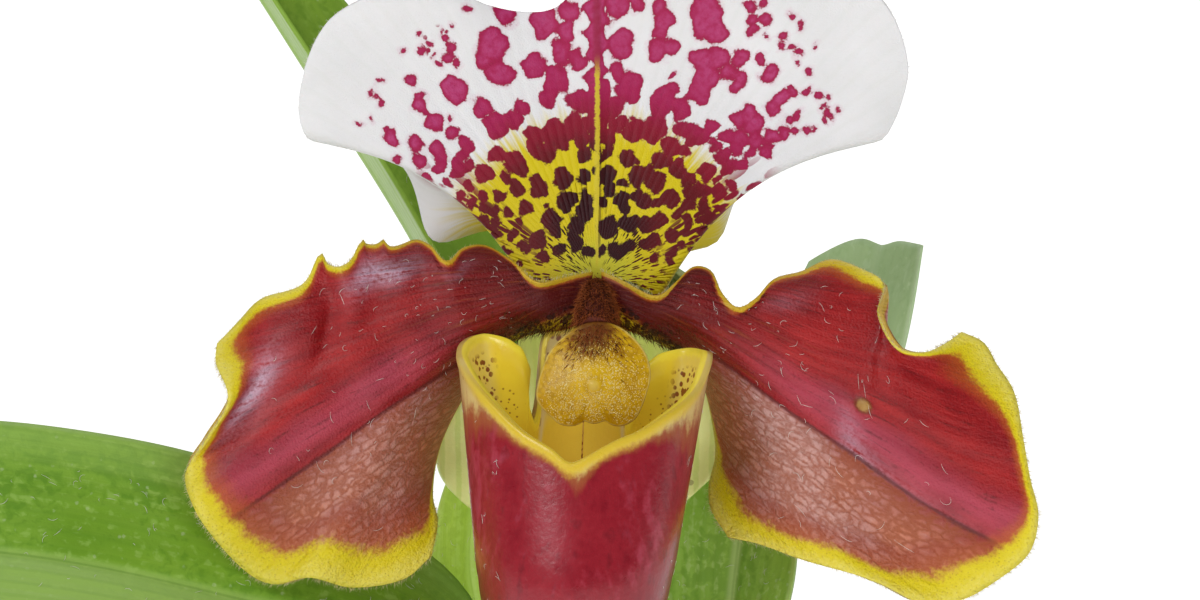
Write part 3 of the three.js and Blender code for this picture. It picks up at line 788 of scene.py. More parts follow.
class Board:
    """One material and the nodes on it."""

    def __init__(self, name: str) -> None:
        """Starts an empty node material.

        Args:
            name: The material's name.
        """
        self.material = bpy.data.materials.new(name)
        self.material.use_nodes = True
        self.tree = self.material.node_tree
        self.tree.nodes.clear()

    def node(
        self, kind: str, settings: dict[str, Any], inputs: dict[Any, Any], output: Any = 0
    ) -> Wire:
        """Adds a node.

        Args:
            kind: Its type.
            settings: Its properties, set first because they choose its sockets.
            inputs: Values, wires or sRGB codes by socket name or number.
            output: Which output socket is wanted.

        Returns:
            The output.
        """
        made = self.tree.nodes.new(kind)
        for key, value in settings.items():
            setattr(made, key, value)
        for key, value in inputs.items():
            if isinstance(value, Wire):
                self.tree.links.new(value.socket, made.inputs[key])
            else:
                made.inputs[key].default_value = tone(value) if isinstance(value, str) else value
        return Wire(self, made.outputs[output])

    def math(self, operation: str, *values: Wire | float, clamp: bool = False) -> Wire:
        """Adds a Math node."""
        settings = {"operation": operation, "use_clamp": clamp}
        return self.node("ShaderNodeMath", settings, dict(enumerate(values)))

    def mix(self, share: Wire | float, first: Wire | str, second: Wire | str) -> Wire:
        """A colour between two, share of the way from the first to the second."""
        settings = {"data_type": "RGBA", "clamp_factor": True}
        return self.node("ShaderNodeMix", settings, {0: share, 6: first, 7: second}, 2)

    def field(self, name: str) -> Wire:
        """The number that the mesh holds under a name."""
        return self.node("ShaderNodeAttribute", {"attribute_name": name}, {}, "Fac")

    def outside(self) -> Wire:
        """1 on the front face of a sheet and 0 on its back."""
        return self.field("front").above(0.4, 0.6)

    def vector(self, x: Wire | float, y: Wire | float) -> Wire:
        """A vector of two numbers and a 0."""
        return self.node("ShaderNodeCombineXYZ", {}, {0: x, 1: y})

    def place(self) -> Wire:
        """The place on the object, in millimetres."""
        at = self.node("ShaderNodeTexCoord", {}, {}, "Object")
        return self.node("ShaderNodeVectorMath", {"operation": "SCALE"}, {0: at, "Scale": 1 / MM})

    def height(self) -> Wire:
        """The height of the place on the object, in millimetres."""
        return self.node("ShaderNodeSeparateXYZ", {}, {0: self.place()}, "Z")

    def stretch(self, at: Wire, x: float, y: float, z: float) -> Wire:
        """A place with its three coordinates multiplied."""
        inputs = {0: at, 1: (x, y, z)}
        return self.node("ShaderNodeVectorMath", {"operation": "MULTIPLY"}, inputs)

    def noise(self, at: Wire, size: float, detail: float = 2.0, shift: float = 0.0) -> Wire:
        """Cloudy noise about 0, mostly within half a unit; size is the size of its clouds."""
        inputs = {"Vector": at, "Scale": 1.0 / size, "Detail": detail, "Distortion": shift}
        return self.node("ShaderNodeTexNoise", {}, inputs) - 0.5

    def cells(self, at: Wire, size: float, feature: Feature = Feature.POINT) -> Wire:
        """The distance to the nearest of scattered points, or to the border between two."""
        inputs = {"Vector": at, "Scale": 1.0 / size, "Randomness": 0.9}
        return self.node("ShaderNodeTexVoronoi", {"feature": feature.value}, inputs, "Distance")

    def bump(self, height: Wire, distance: float, strength: float) -> Wire:
        """A normal tilted by a height pattern whose full swing is distance millimetres."""
        inputs = {"Height": height, "Distance": distance * MM, "Strength": strength}
        return self.node("ShaderNodeBump", {}, inputs)

    def finish(
        self,
        base: Wire | str,
        roughness: Wire | float,
        normal: Wire | None = None,
        **constants: Any,
    ) -> bpy.types.Material:
        """Ends the material in one Principled shader.

        Args:
            base: Its colour.
            roughness: Its roughness.
            normal: Its bump.
            constants: Other sockets, with underscores for spaces.

        Returns:
            The material.
        """
        inputs = {"Base Color": base, "Roughness": roughness}
        if normal is not None:
            inputs["Normal"] = normal
        inputs.update({key.replace("_", " "): value for key, value in constants.items()})
        shader = self.node("ShaderNodeBsdfPrincipled", {}, inputs)
        out = self.tree.nodes.new("ShaderNodeOutputMaterial")
        self.tree.links.new(shader.socket, out.inputs["Surface"])
        return self.material


# ---------- finishes ----------


@dataclass(frozen=True)
class SepalFinish:
    """White sepal with a yellow heart, blotched maroon to magenta along its veins."""

    white: str = "eae9eb"
    grey: str = "d8d8d9"
    green: str = "c2cab8"
    yellow: str = "d6c210"
    lime: str = "c6c83c"
    black: str = "360b11"
    maroon: str = "661018"
    crimson: str = "8a0f2a"
    magenta: str = "a4124c"
    rose: str = "c65490"
    rib: str = "d4c030"
    back: str = "bcc894"

    def build(self) -> bpy.types.Material:
        """Colours by distance from the foot, by the blotch field and by fine noise.

        Returns:
            The material.
        """
        b = Board("sepal_blotched")
        reach, turn, blotch = b.field("reach"), b.field("turn"), b.field("blotch")
        x, z = b.field("flat_x"), b.field("flat_z")
        flat = b.vector(x, z)
        ragged = b.noise(flat, 1.1, 3)
        fine = b.noise(flat, 0.35, 2)
        streaks = b.noise(b.vector(turn * 0.9, reach * 0.09), 1, 3)
        ground = b.mix((b.noise(flat, 9) + 0.35).clip(), self.white, self.grey)
        veins = (turn * 2.1 + b.noise(flat, 5) * 3).sine()
        ground = ground.toward(self.green, veins.above(0.2, 1) * reach.above(12, 30) * 0.05)
        warm = (reach + streaks * 9).above(26, 20.5)
        ground = ground.toward(self.yellow, warm)
        ground = ground.toward(self.lime, (reach + streaks * 4).above(8, 3) * 0.6)
        depth = blotch + ragged * 0.8 + fine * 0.45
        mask = depth.above(-0.1, 0.12)
        specks = b.cells(flat, 1.15) + fine * 0.25
        clumps = (b.noise(flat, 4, 2) + 0.6).above(0.4, 0.54)
        zone = reach.near(40.5, 4) * turn.near(-33.5, 5)
        shown = (zone * clumps).above(0.15, 0.35)
        mask = b.math("MAXIMUM", mask, specks.above(0.38, 0.26) * shown)
        fill = b.cells(b.vector(turn * 0.4, reach * 0.3), 1) + ragged * 0.25
        sides = reach.above(32, 26) * reach.above(8, 12)
        sides = sides * abs(turn).above(48, 56) * abs(turn).above(74, 68)
        mask = b.math("MAXIMUM", mask, fill.above(0.5, 0.4) * sides)
        dashes = b.cells(b.vector(turn * 0.34, reach * 0.55), 0.9) + fine * 0.3
        foot = reach.above(1.5, 2.5) * reach.above(11.5, 8.5)
        foot = foot * (abs(turn) + reach * 2).above(22, 30)
        mask = b.math("MAXIMUM", mask, dashes.above(0.44, 0.34) * foot)
        along_rib = reach + ragged * 3
        dark = b.mix((along_rib + abs(turn) * 0.2).above(15, 23), self.black, self.maroon)
        dark = dark.toward(self.crimson, along_rib.above(18, 23))
        dark = dark.toward(self.magenta, along_rib.above(22.5, 28))
        texture = b.noise(flat, 0.9, 3)
        pale = (depth.above(0.2, 0.9) * (texture * 2 + 0.55)).clip()
        outward = reach.above(24, 36) * (abs(turn).above(8, 60) * 0.35 + 0.5)
        dark = dark.toward(self.rose, pale * outward)
        rim = depth.above(0.4, 0) * reach.above(20, 28)
        dark = dark.toward(self.crimson, rim * 0.4)
        dark = dark.toward(self.maroon, (texture + fine * 0.5).above(0.05, 0.35) * 0.3)
        fringe = depth.above(-0.55, 0) * reach.above(24, 34)
        ground = ground.toward(self.rose, fringe * 0.2)
        colour = b.mix(mask, ground, dark)
        line = abs(x + fine * 0.3 + ragged * 0.25).above(0.27, 0.12) * reach.above(1.5, 3)
        broken = (ragged + fine + 0.4).above(0, 0.25)
        colour = colour.toward(self.rib, line * reach.above(33, 29) * broken * 0.9)
        outer = abs(x).above(0.6, 0.1) * reach.above(29, 33)
        colour = colour.toward(self.crimson, outer * 0.6)
        groove = abs(x - 0.32 + fine * 0.2).above(0.22, 0.08)
        groove = groove * reach.above(22, 16) * reach.above(3, 6)
        colour = colour.toward(self.black, groove * 0.6)
        seen = b.mix(mask * 0.08 + 0.02, b.mix(warm * 0.6, ground, self.back), dark)
        colour = b.mix(b.outside(), seen, colour)
        grain = b.noise(b.place(), 0.22, 2)
        bump = b.bump(grain + veins * 0.15 + mask * 0.5, 0.12, 0.7)
        return b.finish(
            colour, 0.5 + fine * 0.2, bump,
            Subsurface_Weight=0.08, Subsurface_Radius=(1, 0.7, 0.6), Subsurface_Scale=0.001,
            Specular_IOR_Level=0.3,
        )


@dataclass(frozen=True)
class PetalFinish:
    """Lacquer-red petal: a yellow border, a dark midvein and a pale netted half below it."""

    name: str
    crimson: str = "8a0c14"
    bright: str = "b42424"
    dark: str = "4a0808"
    pink: str = "b84a62"
    # the pale lilac of the painted highlight patches
    painted_highlight: str = "dcbcd2"
    brick: str = "963830"
    clay: str = "d07a4e"
    rose: str = "dcb4ac"
    net: str = "964620"
    orange: str = "bc5c1a"
    yellow: str = "e0cc12"
    lemon: str = "ece070"
    brown: str = "7c3a1c"
    black: str = "26080a"
    back: str = "a85a44"
    cork: str = "b8904c"

    def build(self) -> bpy.types.Material:
        """Colours by the distances from the midvein, along it and from the margin, and by noise.

        Returns:
            The material.
        """
        b = Board(self.name)
        border, vein, run, fan = (b.field(name) for name in ("border", "vein", "run", "fan"))
        at = b.place()
        cloud = b.noise(at, 8, 3)
        fine = b.noise(at, 0.5, 2)
        fibre = b.noise(b.vector(fan * 14, run * 0.07), 1, 3, 0.3)
        streak = b.noise(b.vector(fan * 46, run * 0.16), 1, 2, 0.2)
        share = (cloud * 1.6 + fibre * 1.6 + fine * 0.8 + 0.42).clip()
        upper = b.mix(share, self.crimson, self.bright)
        band = (vein + cloud * 3).near(3.6, 4) * run.above(14, 30)
        upper = upper.toward(self.pink, band * (fibre + 0.75).clip() * 0.7)
        # painted highlight: pale lilac patches laid into the colour where light would catch the
        # petal's gloss
        painted_highlight = b.field("painted_highlight") * (streak * 1.8 + fine * 1.6 + cloud + 0.75).clip()
        upper = upper.toward(self.painted_highlight, painted_highlight)
        upper = upper.toward(self.dark, (run + cloud * 8 + fibre * 14).above(30, 4) * 0.85)
        threads = (streak + fibre * 0.6).above(-0.05, -0.3) * run.above(34, 14)
        upper = upper.toward(self.net, threads * 0.6)
        upper = upper.toward(self.dark, (streak + fine * 0.5).above(0.02, 0.32) * 0.55)
        down = -vein
        under = b.mix((cloud * 1.6 + fibre + 0.5).clip(), self.clay, self.brick)
        shaded = (down + fibre * 3 + cloud * 2).above(3.6, 0.3)
        under = under.toward(self.crimson, shaded * 0.85)
        pale = b.field("blush") * (cloud + fine * 0.8 + fibre + 0.75).clip()
        under = under.toward(self.rose, pale * 0.9)
        wander = b.noise(at, 2.6) * 1.5
        grid = b.vector(fan * 27 + wander * 0.8, run * 0.5 + down * 0.25 + wander * 0.8)
        cells = b.cells(grid, 1, Feature.BORDER)
        mesh = (cells + fine * 0.3 + cloud * 0.2).above(0.3, 0)
        under = under.toward(self.rose, (cells + cloud * 0.3).above(0.3, 0.6) * 0.35)
        under = under.toward(self.net, mesh * (0.8 - pale * 0.35))
        under = under.toward(self.brick, streak.above(0.08, 0.35) * 0.35)
        split = (vein + fine * 0.5 + fibre * 0.8).above(0.4, -0.7)
        split = split * (run + fibre * 10).above(11, 22)
        colour = b.mix(split, upper, under)
        line = abs(vein + fine * 0.4 + streak * 0.5).above(0.62, 0.05) * run.above(6, 18)
        colour = colour.toward(self.dark, line * 0.7)
        wart = b.field("wart")
        colour = colour.toward(self.brown, wart.above(0.15, 0.5) * 0.85)
        colour = colour.toward(self.cork, (wart + fine * 0.3).above(0.45, 0.8) * 0.85)
        collar = b.field("collar") + fine * 0.25
        colour = colour.toward(self.dark, collar.above(0.05, 0.5) * 0.6)
        bare = (b.noise(b.vector(fan * 20, run * 0.5), 1, 2) + fine * 0.5).above(-0.12, 0.04)
        colour = colour.toward(self.net, collar.above(0.2, 0.5) * bare * 0.85)
        colour = colour.toward(self.yellow, collar.above(0.4, 0.8) * bare * 0.7)
        clots = (b.cells(at, 1) + fine * 0.4).above(0.52, 0.4)
        colour = colour.toward(self.black, clots * collar.above(0, 0.3) * 0.85)
        edge = border + fibre * 0.6 + fine * 0.4 + cloud * 0.45
        young = run.above(30, 16)
        colour = colour.toward(self.crimson, split * edge.near(-0.6, 0.7) * 0.3)
        colour = colour.toward(self.orange, edge.above(-1, 0.15) * (0.8 - split * 0.4))
        colour = colour.toward(self.yellow, edge.above(-0.15, 0.35) * (1 - young * 0.45))
        bright = edge.above(0.35, 1) * (fine + 0.6).clip()
        colour = colour.toward(self.lemon, bright * (0.85 - young * 0.6))
        specks = (b.cells(at, 0.55) + fine * 0.25).above(0.3, 0.12)
        colour = colour.toward(self.brown, specks * border.above(-0.2, 0.1) * 0.25)
        behind = b.mix(0.5, colour, self.back)
        colour = b.mix(b.outside(), behind, colour)
        grain = b.noise(at, 0.32, 2)
        relief = streak * 0.9 + fibre * 0.7 + grain * 1.1 + fine * 0.4 - mesh * split * 0.5
        bump = b.bump(relief, 0.2, 0.85)
        return b.finish(
            colour, 0.4 + cloud * 0.12 + fine * 0.2, bump,
            Subsurface_Weight=0.03, Subsurface_Radius=(1, 0.4, 0.3), Subsurface_Scale=0.0008,
            Specular_IOR_Level=0.35, Coat_Weight=0.1, Coat_Roughness=0.28,
        )


@dataclass(frozen=True)
class PouchFinish:
    """Wet-looking crimson pouch with a yellow rim and golden, freckled insides."""

    crimson: str = "861222"
    deep: str = "570a16"
    bright: str = "a4202e"
    # pink: of the mottling, the painted gloss and the painted reflection
    pink: str = "b84458"
    tan: str = "a45a30"
    cream: str = "dcc47c"
    rim: str = "dcbc34"
    gold: str = "d0ae28"
    lemon: str = "dcc832"
    beige: str = "d2ba5c"
    ivory: str = "cdbb84"
    wall: str = "d8b43c"
    plum: str = "6e2438"
    # dots: the freckles' colour, and also the painted shade deep inside
    dots: str = "6c1c0a"
    unlit: str = "000000"

    def build(self) -> bpy.types.Material:
        """Colours by the angle from the front, the share of the pale depth, and the wall's side.

        Returns:
            The material.
        """
        b = Board("pouch_glossy")
        turn, below, pale = b.field("turn"), b.field("below"), b.field("pale")
        at = b.place()
        cloud = b.noise(at, 5, 3)
        fine = b.noise(at, 0.5, 2)
        grain = b.noise(at, 1.1, 3)
        streak = b.noise(b.vector(turn * 0.16, below * 0.08), 1, 3, 0.5)
        strokes = b.noise(b.stretch(at, 1, 1, 0.4), 1.3, 3)
        share = (cloud * 1.5 + strokes * 1.3 + grain * 0.5 + 0.45).clip()
        colour = b.mix(share, self.crimson, self.bright)
        colour = colour.toward(self.deep, (below + cloud * 12).above(18, 44) * 0.45)
        colour = colour.toward(self.deep, (strokes + cloud * 0.6).above(0.02, 0.3) * 0.55)
        # pale pink patches, partly the pouch's own mottling and partly a painted gloss highlight
        gloss = b.noise(b.stretch(at, 1, 1, 0.6), 7, 3, 0.6)
        gloss = (gloss + strokes * 0.6 + grain * 0.3).above(0.04, 0.3)
        colour = colour.toward(self.pink, gloss * 0.6)
        # painted reflection: a broad pink haze below the front of the rim, where a light would
        # reflect
        painted_reflection = turn.near(-14, 18) * below.near(11, 8) * (grain + strokes + 0.8).clip()
        colour = colour.toward(self.pink, painted_reflection * 0.25)
        worn = pale + cloud * 0.5 + streak * 0.7 + strokes * 0.6
        colour = colour.toward(self.tan, worn.above(1.4, 0.7) * 0.85)
        colour = colour.toward(self.cream, (worn + fine * 0.3).above(0.8, 0.25) * 0.92)
        lip = (below + fine * 0.8 + grain * 0.9).above(2.6, 0.9)
        colour = colour.toward(self.rim, lip * (1 - abs(turn).above(50, 80) * 0.6))
        inner = b.mix((cloud + 0.5).clip(), self.gold, self.lemon)
        outer = abs(turn).above(133, 124)
        inner = inner.toward(self.beige, outer * (fine * 0.6 + 0.7).clip())
        inner = inner.toward(self.tan, below.above(8, 16) * outer * 0.6)
        freckles = (b.cells(b.stretch(at, 1, 1, 0.8), 0.72) + fine * 0.35).above(0.48, 0.36)
        patch = (b.noise(at, 3) + 0.55).above(0.22, 0.36) * below.above(2.2, 3.5)
        small = (b.cells(at, 0.8) + fine * 0.2).above(0.24, 0.14)
        small = small * below.above(5, 8) * abs(turn).above(148, 140)
        inner = inner.toward(self.dots, freckles * outer * patch * 0.9)
        inner = inner.toward(self.dots, small * 0.8)
        claw = abs(turn).above(153, 157) * below.above(14, 9)
        inner = inner.toward(self.ivory, claw * 0.85)
        spots = (b.cells(b.stretch(at, 1, 1, 0.6), 1.1) + fine * 0.3).above(0.42, 0.3)
        inner = inner.toward(self.plum, claw * spots * below.above(7, 4) * 0.8)
        hind = abs(turn).above(148, 158) * below.above(9, 15)
        inner = inner.toward(self.wall, hind * 0.7)
        # painted shade: the insides darken deep below the rim, where the pouch is shadowed
        inner = inner.toward(self.dots, below.above(24, 40) * 0.7)
        inner = inner.toward(self.lemon, (below + fine).above(1.6, 0.8) * 0.7)
        outside = b.outside()
        colour = b.mix(outside, inner, colour)
        # painted glow: the insides give off light in their own colours, standing in for light in
        # the shaded pouch; the outside gives none
        through = b.mix(outside, inner, self.unlit)
        bump = b.bump(strokes * 0.6 + grain * 0.7 + fine * 0.3, 0.15, 0.6)
        return b.finish(
            colour, 0.32 + cloud * 0.15 + grain * 0.15, bump,
            Emission_Color=through, Emission_Strength=0.26,
            Subsurface_Weight=0.03, Subsurface_Radius=(1, 0.3, 0.25), Subsurface_Scale=0.0008,
            Specular_IOR_Level=0.4, Coat_Weight=0.3, Coat_Roughness=0.27,
        )


@dataclass(frozen=True)
class GrainFinish:
    """A plain two-tone plant surface: clouds of colour and a fine grain."""

    name: str
    light: str
    dark: str
    size: float = 1.0
    roughness: float = 0.5
    depth: float = 0.1
    coat: float = 0.0

    def build(self) -> bpy.types.Material:
        """Two tones mixed by noise of the given size, with grain a fifth as large.

        Returns:
            The material.
        """
        b = Board(self.name)
        at = b.place()
        cloud, grain = b.noise(at, self.size, 3), b.noise(at, self.size / 5, 2)
        colour = b.mix((cloud * 1.6 + grain * 0.5 + 0.5).clip(), self.dark, self.light)
        bump = b.bump(cloud + grain * 0.6, self.depth, 0.7)
        rough = self.roughness + grain * 0.15
        return b.finish(colour, rough, bump, Coat_Weight=self.coat, Specular_IOR_Level=0.3)


@dataclass(frozen=True)
class HairFinish:
    """Hairs whose colour runs from the root to the tip."""

    name: str
    root: str
    tip: str

    def build(self) -> bpy.types.Material:
        """One colour at the root turning into the other at the tip, a little uneven.

        Returns:
            The material.
        """
        b = Board(self.name)
        share = (b.field("along") + b.noise(b.place(), 0.9) * 0.8).clip()
        colour = b.mix(share, self.root, self.tip)
        return b.finish(colour, 0.55, Specular_IOR_Level=0.3)


@dataclass(frozen=True)
class ShieldFinish:
    """Golden shield: a bright boss, brown under the hairs at its top, and a paler rim."""

    ground: str = "be8e08"
    brown: str = "946808"
    bright: str = "e6bc0c"
    top: str = "5e2410"
    rim: str = "dcc468"

    def build(self) -> bpy.types.Material:
        """Colours by the share of the way to the rim and the distances from the boss and the neck.

        Returns:
            The material.
        """
        b = Board("shield_gold")
        out, boss, neck, at = b.field("out"), b.field("boss"), b.field("neck"), b.place()
        cells, cloud = b.cells(at, 0.6), b.noise(at, 1.2, 3)
        colour = b.mix((cloud * 1.4 + 0.4).clip(), self.ground, self.bright)
        colour = colour.toward(self.brown, cells.above(0.4, 0.75) * 0.35)
        colour = colour.toward(self.top, (neck + cloud * 2.5).above(5.8, 1.6) * 0.88)
        colour = colour.toward(self.bright, (boss + cloud * 0.8).above(4.2, 1.6) * 0.5)
        colour = colour.toward(self.brown, (boss + cloud * 0.5).near(1, 0.5) * 0.3)
        # painted highlight: a pale spot on the top of the boss
        colour = colour.toward(self.rim, (boss + cloud * 0.3).above(0.7, 0.2) * 0.5)
        rim = (out + b.noise(at, 0.7) * 0.06).above(0.955, 0.985)
        colour = colour.toward(self.rim, rim * neck.above(3, 6) * 0.8)
        bump = b.bump(b.noise(at, 0.5) - cells * 0.3, 0.12, 0.7)
        return b.finish(colour, 0.42, bump, Coat_Weight=0.1, Specular_IOR_Level=0.3)


@dataclass(frozen=True)
class StripedFinish:
    """Pale green tissue with green veins that run along it.

    Towards its foot, blush reddens it and lime makes it fresher; spots, contrast and glow are the
    strengths of its dots, its veins and a painted glow, light that it gives off in its pale colour
    in place of the light that would come through it.
    """

    name: str
    light: str = "d4dc84"
    vein: str = "9cbc38"
    edge: str = "e6e8ae"
    pitch: float = 1.5
    contrast: float = 0.75
    blush: float = 0.0
    lime: float = 0.0
    spots: float = 0.0
    glow: float = 0.0
    red: str = "9a4a50"
    fresh: str = "b8ce24"
    dot: str = "5a1430"

    def build(self) -> bpy.types.Material:
        """Colours by the distance across, the run from the foot, and noise.

        Returns:
            The material.
        """
        b = Board(self.name)
        across, run, at = b.field("across"), b.field("run"), b.place()
        cloud = b.noise(at, 4, 3)
        lines = (across * (2 * math.pi / self.pitch) + cloud * 2).sine()
        colour = b.mix((cloud + 0.4).clip(), self.light, self.edge)
        colour = colour.toward(self.vein, lines.above(0.1, 0.9) * self.contrast)
        if self.spots:
            dots = (b.cells(at, 5) + b.noise(at, 0.6) * 0.05).above(0.1, 0.07)
            colour = colour.toward(self.dot, dots * self.spots)
        if self.lime:
            colour = colour.toward(self.fresh, (run + cloud * 4).above(16, 5) * self.lime)
        if self.blush:
            colour = colour.toward(self.red, (run + cloud * 4).above(8, 0) * self.blush)
        bump = b.bump(lines * 0.5 + b.noise(at, 0.4, 2), 0.15, 0.6)
        return b.finish(
            colour, 0.5, bump,
            Subsurface_Weight=0.08, Subsurface_Scale=0.001, Specular_IOR_Level=0.3,
            # painted glow: emission in the pale colour, standing in for light through the tissue
            Emission_Color=self.light, Emission_Strength=self.glow,
        )


@dataclass(frozen=True)
class LeafFinish:
    """A leaf's satin green, with a midrib line, faint parallel veins and a paler underside."""

    name: str
    green: str
    light: str
    dark: str
    rib: str
    under: str = "9cb878"
    rib_strength: float = 0.6
    # painted light: how much paler one half of the blade and the strip along its margin are made,
    # as if lit
    painted_light_half: float = 0.0
    # glow: the strength of a painted glow
    glow: float = 0.0
    dust: str = "dce6c8"

    def build(self) -> bpy.types.Material:
        """Colours by the distance from the midrib, the run along the leaf, and noise.

        Returns:
            The material.
        """
        b = Board(self.name)
        across, run, at = b.field("across"), b.field("run"), b.place()
        cloud = b.noise(at, 16, 3)
        fibre = b.noise(b.vector(across * 0.9, run * 0.03), 1, 3)
        patch = b.noise(b.vector(across * 0.16, run * 0.06), 1, 2)
        colour = b.mix((cloud * 1.3 + fibre * 0.7 + 0.5).clip(), self.green, self.light)
        colour = colour.toward(self.dark, (patch * 1.6 + 0.35).clip() * 0.5)
        mottle = b.noise(at, 1.5, 4, 0.4)
        colour = colour.toward(self.dark, (mottle + cloud * 0.9).above(0, 0.2) * 0.45)
        colour = colour.toward(self.rib, (mottle + fibre * 0.8).above(-0.06, -0.24) * 0.4)
        dust = (b.cells(at, 2.2) + b.noise(at, 0.4) * 0.2).above(0.16, 0.08)
        colour = colour.toward(self.dust, dust * (patch + 0.6).clip() * 0.35)
        # painted light: one half of the blade past the midrib and a broad strip along the margin
        # painted paler, where the fold catches the light
        if self.painted_light_half:
            colour = colour.toward(self.rib, (across + fibre).above(0.2, 1.6) * self.painted_light_half)
            shoulder = (b.field("margin") + fibre * 6).above(9, 1)
            colour = colour.toward(self.rib, shoulder * self.painted_light_half * 0.7)
        lines = (across * 2.6 + fibre * 1.5).sine()
        colour = colour.toward(self.dark, lines.above(0.4, 1) * 0.12)
        line = abs(across + fibre * 0.2)
        colour = colour.toward(self.rib, line.above(1.5, 0.4) * self.rib_strength)
        colour = colour.toward(self.dark, line.above(0.35, 0.1) * 0.45 * self.rib_strength)
        colour = colour.toward(self.rib, b.field("margin").above(0.9, 0.3) * 0.35)
        under = b.mix(0.55, colour, self.under)
        colour = b.mix(b.outside(), under, colour)
        bump = b.bump(lines * 0.25 + fibre + mottle * 0.8 + b.noise(at, 0.8, 2) * 0.4, 0.2, 0.6)
        return b.finish(
            colour, 0.42 + cloud * 0.14, bump,
            Specular_IOR_Level=0.35, Coat_Weight=0.06, Coat_Roughness=0.3,
            # painted glow: emission in the leaf's light colour, standing in for light through the
            # blade
            Emission_Color=self.light, Emission_Strength=self.glow,
        )


@dataclass(frozen=True)
class BarkFinish:
    """Fir bark, each chip with its own brown and a corky grain."""

    light: str = "8a6040"
    mid: str = "5c3b25"
    dark: str = "2e1c12"

    def build(self) -> bpy.types.Material:
        """Colours by the chip's own number and by layered noise.

        Returns:
            The material.
        """
        b = Board("bark_cork")
        chip, at = b.field("chip"), b.place()
        layers = b.noise(b.stretch(at, 1, 1, 3.5), 4, 4, 0.6)
        grain = b.noise(at, 0.9, 3)
        colour = b.mix((layers * 1.8 + 0.5).clip(), self.dark, self.mid)
        colour = colour.toward(self.light, (chip * 0.9 + grain * 0.7).clip() * 0.6)
        bump = b.bump(layers + grain * 0.7, 0.9, 0.9)
        return b.finish(colour, 0.88, bump)


@dataclass(frozen=True)
class ClayFinish:
    """Fired clay: turning lines, pale bloom low down and grains of grog."""

    clay: str = "b5673f"
    warm: str = "c67d52"
    deep: str = "8f4c2c"
    bloom: str = "d8c0a8"

    def build(self) -> bpy.types.Material:
        """Colours by noise drawn out round the pot, and by height for the bloom.

        Returns:
            The material.
        """
        b = Board("clay_fired")
        at = b.place()
        rings = b.noise(b.stretch(at, 0.04, 0.04, 1), 1.6, 4)
        cloud = b.noise(at, 24, 4, 0.5)
        grain = b.noise(at, 0.7, 2)
        grog = (b.cells(at, 2.2) + grain * 0.3).above(0.22, 0.1)
        colour = b.mix((cloud * 1.4 + rings * 0.6 + 0.5).clip(), self.clay, self.warm)
        colour = colour.toward(self.deep, (grain + 0.1).clip() * 0.5)
        colour = colour.toward(self.deep, grog * 0.35)
        salt = (b.height() + cloud * 60).above(34, 6)
        salt = salt * (b.noise(at, 5, 4) + 0.5).above(0.4, 0.8)
        colour = colour.toward(self.bloom, salt * 0.45)
        bump = b.bump(rings * 0.9 + grain * 0.5 - grog * 0.3, 0.35, 0.8)
        return b.finish(colour, 0.86, bump, Specular_IOR_Level=0.25)


# ---------- petals ----------

PETAL_MIDDLE = 1.0
PETAL_RIM = 0.7
RIM_SHARE = 8
HAIR_PALE = GrainFinish("hair_pale", "f0e6b4", "d9c890", 1.0, 0.6)
HAIR_DARK = HairFinish("hair_dark", "32100c", "84521e")
# dark roots to golden tips: partly the hairs' own colour, partly painted light, with shade among
# the roots and lit tips
HAIR_NECK = HairFinish("hair_neck", "3c0c0a", "b25c24")
HAIR_WHITE = GrainFinish("hair_white", "f4f1ea", "dedbd0", 1.0, 0.6)


def petal_thickness(a: Array, b: Array) -> Array:
    """The thickness of a petal or sepal, which thins out towards its margin."""
    inside = np.minimum(1, RIM_SHARE * np.minimum(1 - a, np.minimum(b, 1 - b)))
    return PETAL_RIM + (PETAL_MIDDLE - PETAL_RIM) * inside


def stretched(
    edges: dict[Edge, Curve], a: Array, b: Array, side_fade: float, end_fade: float
) -> Array:
    """A surface stretched between four edge curves.

    It is the sum of the four edges, each weighted by how near the point is to it, less the corners
    that are counted twice. A fade above 1 keeps the waves of an edge close to that edge.

    Args:
        edges: The curves; LOW and HIGH run from foot to tip, FOOT and TIP from low to high.
        a: Shares of the way from foot to tip.
        b: Shares of the way from low to high.
        side_fade: How quickly the low and high edges lose their hold.
        end_fade: How quickly the foot and tip lose theirs.

    Returns:
        A grid of points.
    """
    to_low, to_high = ((1 - b) ** side_fade)[None, :, None], (b**side_fade)[None, :, None]
    to_foot, to_tip = ((1 - a) ** end_fade)[:, None, None], (a**end_fade)[:, None, None]
    low, high = edges[Edge.LOW], edges[Edge.HIGH]
    grid = low.at(a)[:, None] * to_low + high.at(a)[:, None] * to_high
    grid = grid + edges[Edge.FOOT].at(b)[None] * to_foot + edges[Edge.TIP].at(b)[None] * to_tip
    for curve, weight in ((low, to_low), (high, to_high)):
        grid = grid - curve.at(0.0) * weight * to_foot - curve.at(1.0) * weight * to_tip
    return grid


def run_along(grid: Array, axis: int) -> Array:
    """The distance travelled over a grid of points along one of its two axes.

    Args:
        grid: The points.
        axis: Which axis.

    Returns:
        The distance at each point from the first along that axis.
    """
    steps = np.linalg.norm(np.diff(grid, axis=axis), axis=2)
    first = np.zeros_like(steps[:1] if axis == 0 else steps[:, :1])
    return np.cumsum(np.concatenate([first, steps], axis=axis), axis=axis)


